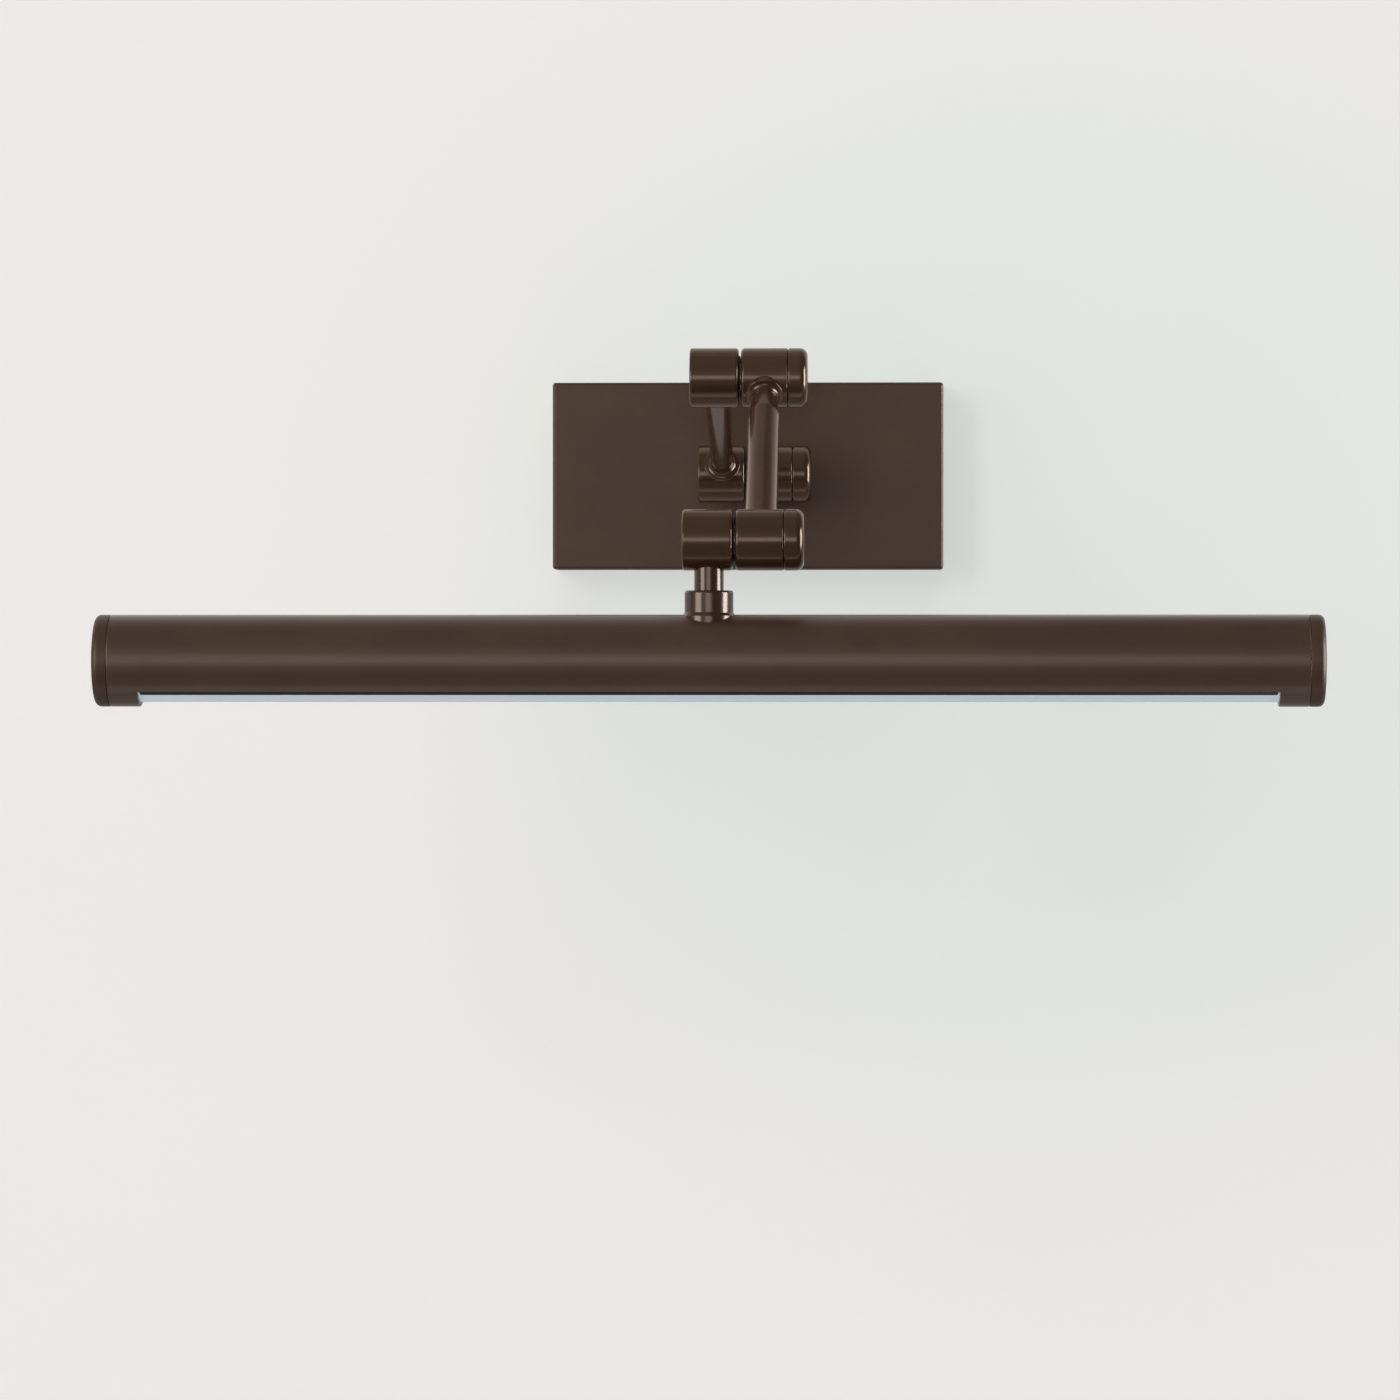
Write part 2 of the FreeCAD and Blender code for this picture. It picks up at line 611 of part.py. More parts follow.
def led_board():
    """Narrow circuit board under the carrier's plate."""
    low = TUBE_CENTRE + Vector(-BOARD_LENGTH / 2, -BOARD_WIDTH / 2, CARRIER_PLATE_LOW - BOARD_THICK)
    high = TUBE_CENTRE + Vector(BOARD_LENGTH / 2, BOARD_WIDTH / 2, CARRIER_PLATE_LOW)
    body = box_between(low, high)
    for x in board_screw_x():
        start = Vector(x, TUBE_CENTRE.y, TUBE_CENTRE.z - TUBE_R)
        body = body.cut(Part.makeCylinder(BOARD_SCREW_R, 2 * TUBE_R, start, UP))
    return body


def led_chips():
    """Row of LED packages on the underside of the board."""
    chips = []
    top = CARRIER_PLATE_LOW - BOARD_THICK
    for i in range(-CHIP_PAIRS, CHIP_PAIRS):
        middle = (i + 0.5) * CHIP_PITCH
        low = TUBE_CENTRE + Vector(middle - CHIP_LENGTH / 2, -CHIP_WIDTH / 2, top - CHIP_THICK)
        high = TUBE_CENTRE + Vector(middle + CHIP_LENGTH / 2, CHIP_WIDTH / 2, top)
        chips.append(box_between(low, high))
    return Part.makeCompound(chips)


def board_screws():
    """Screws that hold the board to the carrier, heads down."""
    screws = []
    head_top = CARRIER_PLATE_LOW - BOARD_THICK
    for x in board_screw_x():
        base = Vector(x, TUBE_CENTRE.y, TUBE_CENTRE.z)
        screws.append(turned(base, UP, ALONG_X, [
            (head_top - BOARD_SCREW_HEAD, 0, 0),
            (head_top - BOARD_SCREW_HEAD, BOARD_SCREW_HEAD_R, 0.4),
            (head_top, BOARD_SCREW_HEAD_R, 0),
            (head_top, BOARD_SCREW_R, 0),
            (CARRIER_PLATE_HIGH, BOARD_SCREW_R, 0),
            (CARRIER_PLATE_HIGH, 0, 0),
        ]))
    return Part.makeCompound(screws)


def board_connector():
    """Small connector on top of the carrier where the head's lead ends."""
    floor = TUBE_CENTRE.z + CARRIER_PLATE_HIGH
    low = Vector(CONNECTOR_START, TUBE_CENTRE.y - CONNECTOR_WIDTH / 2, floor)
    size = Vector(CONNECTOR_LENGTH, CONNECTOR_WIDTH, CONNECTOR_HEIGHT)
    return box_between(low, low + size)


def diffuser():
    """Curved white strip that closes the slot from inside."""
    inner_r = TUBE_BORE_R - DIFFUSER_THICK
    angle = DIFFUSER_HALF_ANGLE
    return arc_strip(TUBE_BORE_R, inner_r, -angle, angle, CARRIER_HALF_LENGTH)


def tube_end_cap(side):
    """Round-edged cap with a spigot that plugs into one end of the lamp tube."""
    axis = ALONG_X * side
    spigot_start = TUBE_HALF_LENGTH - CAP_SPIGOT_LENGTH
    spigot_bore = TUBE_BORE_R - CAP_SPIGOT_WALL
    body = turned(TUBE_CENTRE, axis, UP, [
        (spigot_start, spigot_bore, 0),
        (spigot_start, TUBE_BORE_R, CAP_SPIGOT_ROUND),
        (TUBE_HALF_LENGTH, TUBE_BORE_R, 0),
        (TUBE_HALF_LENGTH, TUBE_R, CAP_INNER_ROUND),
        (HEAD_HALF_LENGTH, TUBE_R, CAP_ROUND_END),
        (HEAD_HALF_LENGTH, 0, 0),
        (HEAD_HALF_LENGTH - CAP_PLATE_THICK, 0, 0),
        (HEAD_HALF_LENGTH - CAP_PLATE_THICK, spigot_bore, 0),
    ])
    centre, outward = end_screw_axis(side)
    return body.cut(Part.makeCylinder(END_SCREW_R, TUBE_R, centre, outward))


def end_cap_screws():
    """Headless screws at the back of the tube that keep both caps in."""
    screws = []
    for side in (-1, 1):
        centre, outward = end_screw_axis(side)
        start = centre + outward * END_SCREW_INNER
        screws.append(Part.makeCylinder(END_SCREW_R, END_SCREW_OUTER - END_SCREW_INNER, start, outward))
    return Part.makeCompound(screws)


def wall_plate():
    """Rectangular pan, open towards the wall, with slightly rounded edges."""
    half_w = PLATE_WIDTH / 2
    half_h = PLATE_HEIGHT / 2
    front_corner = Vector(-half_w, -PLATE_DEPTH, -half_h)
    block = Part.makeBox(PLATE_WIDTH, PLATE_DEPTH, PLATE_HEIGHT, front_corner)
    rounded = []
    for edge in block.Edges:
        middle = edge.CenterOfMass
        on_front = abs(middle.y + PLATE_DEPTH) < TINY
        on_corner = abs(abs(middle.x) - half_w) < TINY and abs(abs(middle.z) - half_h) < TINY
        if on_front or on_corner:
            rounded.append(edge)
    block = block.makeFillet(PLATE_EDGE, rounded)
    low = Vector(-half_w + PLATE_WALL, PLATE_FACE_INSIDE, -half_h + PLATE_WALL)
    high = Vector(half_w - PLATE_WALL, 1, half_h - PLATE_WALL)
    block = block.cut(box_between(low, high))
    stem_hole = Vector(RIGHT_X, -PLATE_DEPTH - 1, 0)
    block = block.cut(Part.makeCylinder(STEM_NIPPLE_R, PLATE_DEPTH, stem_hole, TO_WALL))
    for side in (-1, 1):
        start = Vector(side * TAB_X, SET_SCREW_Y, -half_h - 1)
        block = block.cut(Part.makeCylinder(SET_SCREW_R, PLATE_WALL + 2, start, UP))
    return block


def slot_cutter(centre):
    """Cutter for one fixing slot that runs along X."""
    reach = FIXING_SLOT_LENGTH / 2 - FIXING_SLOT_R
    depth = 2 * BRACKET_THICK
    start = centre - TO_WALL * depth
    low = start + Vector(-reach, 0, -FIXING_SLOT_R)
    high = start + Vector(reach, 2 * depth, FIXING_SLOT_R)
    cutter = box_between(low, high)
    for side in (-1, 1):
        end = start + ALONG_X * (side * reach)
        cutter = cutter.fuse(Part.makeCylinder(FIXING_SLOT_R, 2 * depth, end, TO_WALL))
    return cutter.removeSplitter()


def mounting_bracket():
    """Steel strap on the wall, with fixing slots, a supply hole and four bent tabs for the plate."""
    half_w = BRACKET_WIDTH / 2
    half_h = BRACKET_HEIGHT / 2
    tab_reach = PLATE_HEIGHT / 2 - PLATE_WALL
    body = box_between(Vector(-half_w, -BRACKET_THICK, -half_h), Vector(half_w, 0, half_h))
    for side in (-1, 1):
        left = side * TAB_X - TAB_WIDTH / 2
        right = side * TAB_X + TAB_WIDTH / 2
        upright_low = Vector(left, -BRACKET_THICK, -tab_reach)
        body = body.fuse(box_between(upright_low, Vector(right, 0, tab_reach)))
        lip_low = Vector(left, -TAB_DEPTH_LOW, -tab_reach)
        body = body.fuse(box_between(lip_low, Vector(right, 0, -tab_reach + BRACKET_THICK)))
        lip_high = Vector(left, -TAB_DEPTH_HIGH, tab_reach - BRACKET_THICK)
        body = body.fuse(box_between(lip_high, Vector(right, 0, tab_reach)))
    body = body.removeSplitter()
    for side in (-1, 1):
        body = body.cut(slot_cutter(Vector(side * FIXING_SPACING / 2, 0, 0)))
        start = Vector(side * TAB_X, SET_SCREW_Y, -tab_reach - 1)
        body = body.cut(Part.makeCylinder(SET_SCREW_R, BRACKET_THICK + 2, start, UP))
    through = 2 * BRACKET_THICK
    supply = Vector(SUPPLY_HOLE_X, -through, 0)
    body = body.cut(Part.makeCylinder(SUPPLY_HOLE_R, 2 * through, supply, TO_WALL))
    ground = Vector(GROUND_SCREW_X, -through, GROUND_SCREW_Z)
    return body.cut(Part.makeCylinder(GROUND_SCREW_R, 2 * through, ground, TO_WALL))


def ground_screw():
    """Earth screw with a domed head on the bracket."""
    base = Vector(GROUND_SCREW_X, 0, GROUND_SCREW_Z)
    head_base = -BRACKET_THICK
    body = turned(base, TO_WALL, ALONG_X, [
        (head_base - GROUND_SCREW_HEAD, 0, 0),
        (head_base - GROUND_SCREW_HEAD, GROUND_SCREW_HEAD_R, GROUND_SCREW_DOME),
        (head_base, GROUND_SCREW_HEAD_R, 0),
        (head_base, GROUND_SCREW_R, 0),
        (0, GROUND_SCREW_R, 0),
        (0, 0, 0),
    ])
    half = GROUND_SCREW_HEAD_R + 1
    slot_floor = head_base - GROUND_SCREW_HEAD + GROUND_SLOT_DEPTH
    low = base + Vector(-half, slot_floor - 2 * GROUND_SLOT_DEPTH, -GROUND_SLOT_WIDTH / 2)
    high = base + Vector(half, slot_floor, GROUND_SLOT_WIDTH / 2)
    return body.cut(box_between(low, high))


def plate_set_screws():
    """Headless screws through the plate's underside into the bracket's lower tabs."""
    screws = []
    for side in (-1, 1):
        start = Vector(side * TAB_X, SET_SCREW_Y, -PLATE_HEIGHT / 2)
        body = Part.makeCylinder(SET_SCREW_R, SET_SCREW_LENGTH, start, UP)
        screws.append(body.cut(hex_bar(start, UP, ALONG_X, SOCKET_DEPTH, SOCKET_FLATS)))
    return Part.makeCompound(screws)


def driver_case():
    """Open tray of the LED driver, with a hole in each end for its leads."""
    body = box_between(DRIVER_LOW, DRIVER_LOW + DRIVER_SIZE)
    inset = Vector(DRIVER_WALL, DRIVER_WALL, DRIVER_WALL)
    high = DRIVER_LOW + DRIVER_SIZE + Vector(-DRIVER_WALL, 1, -DRIVER_WALL)
    body = body.cut(box_between(DRIVER_LOW + inset, high))
    right = DRIVER_LOW.x + DRIVER_SIZE.x
    output = Vector(right - 2 * DRIVER_WALL, OUTPUT_LEAD_Y, OUTPUT_LEAD_Z)
    body = body.cut(Part.makeCylinder(LEAD_R, 3 * DRIVER_WALL, output, ALONG_X))
    entry = Vector(DRIVER_LOW.x - DRIVER_WALL, INPUT_LEAD_Y, INPUT_LEAD_HIGH_Z)
    return body.cut(Part.makeCylinder(LEAD_R, 3 * DRIVER_WALL, entry, ALONG_X))


def driver_lid():
    """Flat lid on the driver's tray."""
    low = DRIVER_LOW + Vector(0, DRIVER_SIZE.y, 0)
    return box_between(low, low + Vector(DRIVER_SIZE.x, DRIVER_WALL, DRIVER_SIZE.z))


def driver_board():
    """Driver's circuit board with a transformer, a choke and a capacitor on it."""
    low = Vector(DRIVER_LOW.x + DRIVER_WALL, DRIVER_BOARD_Y, DRIVER_LOW.z + DRIVER_WALL)
    width = DRIVER_SIZE.x - 2 * DRIVER_WALL
    height = DRIVER_SIZE.z - 2 * DRIVER_WALL
    body = box_between(low, low + Vector(width, DRIVER_BOARD_THICK, height))
    stand = Vector(0, DRIVER_BOARD_Y + DRIVER_BOARD_THICK, 0)
    for corner, size in (TRANSFORMER, CHOKE):
        body = body.fuse(box_between(stand + corner, stand + corner + size))
    foot, radius, length = CAPACITOR
    return body.fuse(Part.makeCylinder(radius, length, stand + foot, TO_WALL))


def terminal_columns():
    """X of each pole of the terminal block."""
    middle = TERMINAL_LOW.x + TERMINAL_SIZE.x / 2
    first = middle - TERMINAL_PITCH * (TERMINAL_POLES - 1) / 2
    return [first + TERMINAL_PITCH * i for i in range(TERMINAL_POLES)]


def terminal_block():
    """Block where the supply wires come in from above and the driver's lead leaves below."""
    body = box_between(TERMINAL_LOW, TERMINAL_LOW + TERMINAL_SIZE)
    top = TERMINAL_LOW.z + TERMINAL_SIZE.z
    face = TERMINAL_LOW.y + TERMINAL_SIZE.y
    depth = TERMINAL_ENTRY_DEPTH
    for x in terminal_columns():
        entry = Vector(x, TERMINAL_LOW.y + TERMINAL_SIZE.y / 2, top - depth)
        body = body.cut(Part.makeCylinder(TERMINAL_ENTRY_R, depth + 1, entry, UP))
        well = Vector(x, face - TERMINAL_SCREW_DEPTH, top - TERMINAL_SCREW_BELOW_TOP)
        body = body.cut(Part.makeCylinder(TERMINAL_SCREW_R, TERMINAL_SCREW_DEPTH + 1, well, TO_WALL))
    return body


def terminal_screws():
    """One slotted clamp screw for each pole."""
    screws = []
    top = TERMINAL_LOW.z + TERMINAL_SIZE.z
    face = TERMINAL_LOW.y + TERMINAL_SIZE.y
    for x in terminal_columns():
        depth = face - TERMINAL_SCREW_DEPTH + TERMINAL_SCREW_CLEAR
        start = Vector(x, depth, top - TERMINAL_SCREW_BELOW_TOP)
        body = Part.makeCylinder(TERMINAL_SCREW_R, TERMINAL_SCREW_LENGTH, start, TO_WALL)
        slot_floor = TERMINAL_SCREW_LENGTH - DRIVE_SLOT_DEPTH
        low = start + Vector(-TERMINAL_SCREW_R, slot_floor, -DRIVE_SLOT_WIDTH / 2)
        high = start + Vector(TERMINAL_SCREW_R, TERMINAL_SCREW_LENGTH + 1, DRIVE_SLOT_WIDTH / 2)
        screws.append(body.cut(box_between(low, high)))
    return Part.makeCompound(screws)


def input_lead():
    """Lead from the terminal block round to the driver's left end."""
    start_x = terminal_columns()[1]
    return lead([
        (Vector(start_x, INPUT_LEAD_Y, TERMINAL_LOW.z), 0),
        (Vector(start_x, INPUT_LEAD_Y, INPUT_LEAD_LOW_Z), LEAD_BEND),
        (Vector(INPUT_LEAD_LEFT_X, INPUT_LEAD_Y, INPUT_LEAD_LOW_Z), LEAD_BEND),
        (Vector(INPUT_LEAD_LEFT_X, INPUT_LEAD_Y, INPUT_LEAD_HIGH_Z), LEAD_BEND),
        (Vector(DRIVER_LOW.x + DRIVER_WALL, INPUT_LEAD_Y, INPUT_LEAD_HIGH_Z), 0),
    ])


def driver_lead():
    """Lead from the driver, through the stem, to the middle of the wall knuckle."""
    right = DRIVER_LOW.x + DRIVER_SIZE.x - DRIVER_WALL
    return lead([
        (Vector(right, OUTPUT_LEAD_Y, OUTPUT_LEAD_Z), 0),
        (Vector(LEAD_RIGHT_X, OUTPUT_LEAD_Y, OUTPUT_LEAD_Z), LEAD_BEND),
        (Vector(LEAD_RIGHT_X, OUTPUT_LEAD_Y, 0), LEAD_BEND),
        (WALL_AXIS + ALONG_X * LEAD_RIGHT_X, LEAD_BEND),
        (WALL_AXIS, 0),
    ])


def arm_1_lead():
    """Lead inside the first arm, from the middle of one knuckle to the middle of the next."""
    return lead([
        (WALL_AXIS, 0),
        (WALL_AXIS + ALONG_X * LEAD_LEFT_X, LEAD_BEND),
        (UPPER_AXIS + ALONG_X * LEAD_LEFT_X, LEAD_BEND),
        (UPPER_AXIS, 0),
    ])


def arm_2_lead():
    """Lead inside the second arm, from the middle of one knuckle to the middle of the next."""
    return lead([
        (UPPER_AXIS, 0),
        (UPPER_AXIS + ALONG_X * LEAD_RIGHT_X, LEAD_BEND),
        (LOWER_AXIS + ALONG_X * LEAD_RIGHT_X, LEAD_BEND),
        (LOWER_AXIS, 0),
    ])


def neck_lead():
    """Lead down the neck. It moves onto the neck's own axis before the swivel."""
    side = LEAD_LEFT_X - LEFT_X
    return lead([
        (LOWER_AXIS, 0),
        (NECK_TOP + ALONG_X * side, LEAD_BEND),
        (NECK_TOP + ALONG_X * side + DOWN * NECK_LEAD_HIGH, NECK_LEAD_BEND),
        (NECK_TOP + DOWN * NECK_LEAD_LOW, NECK_LEAD_BEND),
        (NECK_TOP + DOWN * NECK_END, 0),
    ])


def head_lead():
    """Lead from the end of the neck to the connector on the carrier."""
    level = Vector(CONNECTOR_START, NECK_TOP.y, NECK_TOP.z - HEAD_LEAD_LEVEL)
    return lead([
        (NECK_TOP + DOWN * NECK_END, 0),
        (NECK_TOP + DOWN * HEAD_LEAD_LEVEL, HEAD_LEAD_BEND),
        (level, 0),
    ])


def export(node, shape):
    """Write one node's solids to its own STEP file."""
    shape.exportStep("parts/%s.step" % node)


def export_knuckle(name, axis_point, left_dir, left_r, right_dir, right_r):
    """Write the eight pieces of one knuckle."""
    export(name + "_left_barrel", left_barrel(axis_point, left_dir, left_r))
    export(name + "_right_barrel", right_barrel(axis_point, right_dir, right_r))
    export(name + "_end_cap", knuckle_cap(axis_point))
    export(name + "_pivot_tube", pivot_tube(axis_point))
    export(name + "_thrust_washer", thrust_washer(axis_point))
    export(name + "_friction_washer", friction_washer(axis_point))
    export(name + "_spring_washer", spring_washer(axis_point))
    export(name + "_lock_nut", lock_nut(axis_point))


os.makedirs("parts", exist_ok=True)
export_knuckle("wall", WALL_AXIS, ARM_1_DIR, ARM_1_ROOT_R, TO_WALL, STEM_SPIGOT_R)
export_knuckle("upper", UPPER_AXIS, -ARM_1_DIR, TIP_SPIGOT_R, ARM_2_DIR, ARM_2_ROOT_R)
export_knuckle("lower", LOWER_AXIS, DOWN, NECK_SPIGOT_R, -ARM_2_DIR, TIP_SPIGOT_R)
export("wall_plate", wall_plate())
export("mounting_bracket", mounting_bracket())
export("ground_screw", ground_screw())
export("plate_set_screws", plate_set_screws())
export("driver_case", driver_case())
export("driver_lid", driver_lid())
export("driver_board", driver_board())
export("terminal_block", terminal_block())
export("terminal_screws", terminal_screws())
export("input_lead", input_lead())
export("driver_lead", driver_lead())
export("wall_stem", wall_stem())
export("wall_stem_washer", wall_stem_washer())
export("wall_stem_nut", wall_stem_nut())
export("arm_1_tube", arm_1_tube())
export("arm_1_lead", arm_1_lead())
export("arm_2_tube", arm_2_tube())
export("arm_2_lead", arm_2_lead())
export("neck_tube", neck_tube())
export("neck_lead", neck_lead())
export("swivel_washer", swivel_washer())
export("swivel_nut", swivel_nut())
export("collar", collar())
export("swivel_saddle", swivel_saddle())
export("lamp_tube", lamp_tube())
export("led_carrier", led_carrier())
export("led_board", led_board())
export("led_chips", led_chips())
export("board_screws", board_screws())
export("board_connector", board_connector())
export("head_lead", head_lead())
export("diffuser", diffuser())
export("end_cap_left", tube_end_cap(-1))
export("end_cap_right", tube_end_cap(1))
export("end_cap_screws", end_cap_screws())
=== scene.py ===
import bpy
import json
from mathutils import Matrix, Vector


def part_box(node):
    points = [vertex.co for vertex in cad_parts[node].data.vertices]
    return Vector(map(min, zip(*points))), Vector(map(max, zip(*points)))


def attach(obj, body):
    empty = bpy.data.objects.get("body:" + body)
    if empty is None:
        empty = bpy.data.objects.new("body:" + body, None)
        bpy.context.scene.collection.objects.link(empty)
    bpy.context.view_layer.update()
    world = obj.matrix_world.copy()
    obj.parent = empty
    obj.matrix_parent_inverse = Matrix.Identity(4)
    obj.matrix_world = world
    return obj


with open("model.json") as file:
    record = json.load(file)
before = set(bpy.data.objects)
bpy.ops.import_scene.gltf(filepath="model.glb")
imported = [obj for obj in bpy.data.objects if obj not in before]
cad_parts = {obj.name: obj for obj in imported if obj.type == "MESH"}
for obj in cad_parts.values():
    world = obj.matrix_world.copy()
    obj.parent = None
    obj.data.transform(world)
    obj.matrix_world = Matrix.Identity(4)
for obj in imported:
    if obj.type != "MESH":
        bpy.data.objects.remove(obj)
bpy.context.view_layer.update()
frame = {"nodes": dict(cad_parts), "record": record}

import json
import math

import bmesh
import bpy
from mathutils import Vector

MM = 0.001
EVEN = (1.0, 1.0, 1.0)
WHITE = (1.0, 1.0, 1.0)
BLACK = (0.0, 0.0, 0.0)


# ---------------------------------------------------------------- node helpers

# The colour sockets of a Mix node go by number, because their names repeat.
MIX_FACTOR, MIX_FIRST, MIX_SECOND, MIX_RESULT = 0, 6, 7, 2
# Most of a noise texture lies between these two values.
NOISE_LOW, NOISE_HIGH = 0.3, 0.7
# How far an edge's rounded normal has turned where the wear starts, and where it is full.
WORN_LOW, WORN_HIGH = 0.004, 0.09
BEVEL_SAMPLES = 6


class Tree:
    """A short way to write a node tree: make nodes, give inputs as values or as links."""

    def __init__(self, owner):
        owner.use_nodes = True
        self.tree = owner.node_tree
        self.tree.nodes.clear()

    def link(self, source, target):
        self.tree.links.new(source, target)

    def give(self, socket, value):
        if isinstance(value, bpy.types.NodeSocket):
            self.link(value, socket)
        else:
            socket.default_value = value

    def node(self, kind, inputs=None, **settings):
        made = self.tree.nodes.new(kind)
        for name, value in settings.items():
            setattr(made, name, value)
        for name, value in (inputs or {}).items():
            self.give(made.inputs[name], value)
        return made

    def math(self, operation, *values, clamp=False):
        made = self.node("ShaderNodeMath", dict(enumerate(values)), operation=operation, use_clamp=clamp)
        return made.outputs[0]

    def vector(self, operation, *values):
        made = self.node("ShaderNodeVectorMath", dict(enumerate(values)), operation=operation)
        return made.outputs["Value"] if operation in ("DOT_PRODUCT", "LENGTH") else made.outputs[0]

    def ramp(self, factor, *stops):
        """A curve of straight stretches through (place, value or colour) stops."""
        made = self.node("ShaderNodeValToRGB", {"Fac": factor})
        elements = made.color_ramp.elements
        while len(elements) < len(stops):
            elements.new(0.5)
        for element, (place, value) in zip(elements, stops):
            color = value if isinstance(value, tuple) else (value, value, value)
            element.position = place
            element.color = (*color, 1.0)
        return made.outputs["Color"]

    def spread(self, factor, low, high, to_low=0.0, to_high=1.0):
        """Carry the span from low to high over to another span, and clamp what lies outside."""
        made = self.node("ShaderNodeMapRange", {"Value": factor, "From Min": low, "From Max": high,
                                                "To Min": to_low, "To Max": to_high})
        made.clamp = True
        return made.outputs["Result"]

    def vary(self, noise, low, high):
        """A value that goes from low to high with the noise."""
        return self.spread(noise, NOISE_LOW, NOISE_HIGH, low, high)

    def swing(self, noise, middle, reach):
        """A value that swings about its middle with the noise."""
        return self.vary(noise, middle - reach, middle + reach)

    def mix(self, factor, first, second):
        made = self.node("ShaderNodeMix", {MIX_FACTOR: factor}, data_type="RGBA")
        for index, value in ((MIX_FIRST, first), (MIX_SECOND, second)):
            self.give(made.inputs[index], (*value, 1.0) if isinstance(value, tuple) else value)
        return made.outputs[MIX_RESULT]

    def place(self, scale=EVEN):
        """Object coordinates, scaled, so a pattern stays on its part when the part moves."""
        source = self.node("ShaderNodeTexCoord").outputs["Object"]
        return self.node("ShaderNodeMapping", {"Vector": source, "Scale": scale}).outputs[0]

    def noise(self, vector, scale, detail=3.0, roughness=0.5):
        return self.node("ShaderNodeTexNoise", {
            "Vector": vector, "Scale": scale, "Detail": detail, "Roughness": roughness}).outputs["Fac"]

    def bump(self, height, distance, strength, normal=None):
        inputs = {"Height": height, "Distance": distance, "Strength": strength}
        if normal is not None:
            inputs["Normal"] = normal
        return self.node("ShaderNodeBump", inputs).outputs[0]

    def rounded(self, radius):
        """A normal that rounds sharp edges off."""
        return self.node("ShaderNodeBevel", {"Radius": radius}, samples=BEVEL_SAMPLES).outputs[0]

    def worn(self, rounded):
        """A mask that is 1 along the edges that the rounded normal rounds off."""
        flat = self.node("ShaderNodeNewGeometry").outputs["Normal"]
        turn = self.math("SUBTRACT", 1.0, self.vector("DOT_PRODUCT", rounded, flat))
        return self.spread(turn, WORN_LOW, WORN_HIGH)

    def sum(self, first, first_share, second, second_share):
        """Two values added, each in its own share."""
        return self.math("ADD", self.math("MULTIPLY", first, first_share),
                         self.math("MULTIPLY", second, second_share))

    def end(self, shader):
        out = self.node("ShaderNodeOutputMaterial")
        self.link(shader, out.inputs["Surface"])


def material(name):
    made = bpy.data.materials.new(name)
    return made, Tree(made)


def shade(t, color, roughness, normal, **fixed):
    """End the tree in a Principled shader with linked colour, roughness and normal. The rest is fixed."""
    inputs = {"Base Color": color, "Roughness": roughness, "Normal": normal}
    inputs.update(fixed)
    t.end(t.node("ShaderNodeBsdfPrincipled", inputs).outputs[0])


def scaled(color, factor, lift=0.0):
    """The colour, brighter or darker, and no brighter than white."""
    return tuple(min(1.0, value * factor + lift) for value in color)


# ---------------------------------------------------------------- materials

# A scale is in cells per metre. A share is how much of the second colour is mixed in. A gleam is the tint of
# the reflections.
BRONZE_METALLIC = 0.35
BRONZE_DARK = (0.071, 0.036, 0.020)
BRONZE_WARM = (0.090, 0.046, 0.026)
BRONZE_SHADE = (0.047, 0.025, 0.014)
# The worn colour is for rubbed edges, and is also a painted highlight along edges and seams.
BRONZE_WORN_AND_SHEEN = (0.32, 0.23, 0.13)
BRONZE_EDGE = 0.35 * MM
SPECK_FROM, SPECK_TO, SPECK_SHARE = 0.35, 0.75, 0.18
RUB_FROM, RUB_TO, RUB_SHARE = 0.42, 0.62, 0.7
RUB_SHINE = 0.05
WARM_GLEAM = (1.0, 0.76, 0.62)
SOFT_GLEAM = (1.0, 0.86, 0.77)
PALE_GLEAM = (1.0, 0.99, 0.98)
SATIN_GRAIN = 0.004 * MM
GLOSS_GRAIN = 0.002 * MM
GLOSS_COAT, GLOSS_COAT_ROUGH = 0.35, 0.12
METAL_EDGE = 0.12 * MM
METAL_GRAIN = 0.006 * MM
METAL_GRAIN_SWING = 0.048
FLAKE_SCALE, FLAKE_SHARE = 420.0, 0.22
PLASTIC_EDGE = 0.2 * MM
PLASTIC_DEPTH = 0.012 * MM
BOARD_EDGE = 0.1 * MM
TRACK_FROM, TRACK_TO = 0.05, 0.11
TRACK_HEIGHT = 0.03 * MM
BARE_COPPER = (0.42, 0.36, 0.22)
OPAL_MILK = (0.68, 0.76, 0.84)
OPAL_CLEAR = (0.73, 0.80, 0.88)
OPAL_GLOW_COLOR = (0.70, 0.85, 1.0, 1.0)
OPAL_GLOW = 0.29
OPAL_EDGE = 0.15 * MM
OPAL_FROST = 0.006 * MM
OPAL_DEPTH = 1.2 * MM
LED_FRAME = (0.82, 0.82, 0.80)
LED_PHOSPHOR = (0.86, 0.66, 0.18)
LED_EDGE = 0.1 * MM
LED_GRAIN = 0.008 * MM
LED_FACING_FROM, LED_FACING_TO = 0.6, 0.9
DOWN = (0.0, 0.0, -1.0)


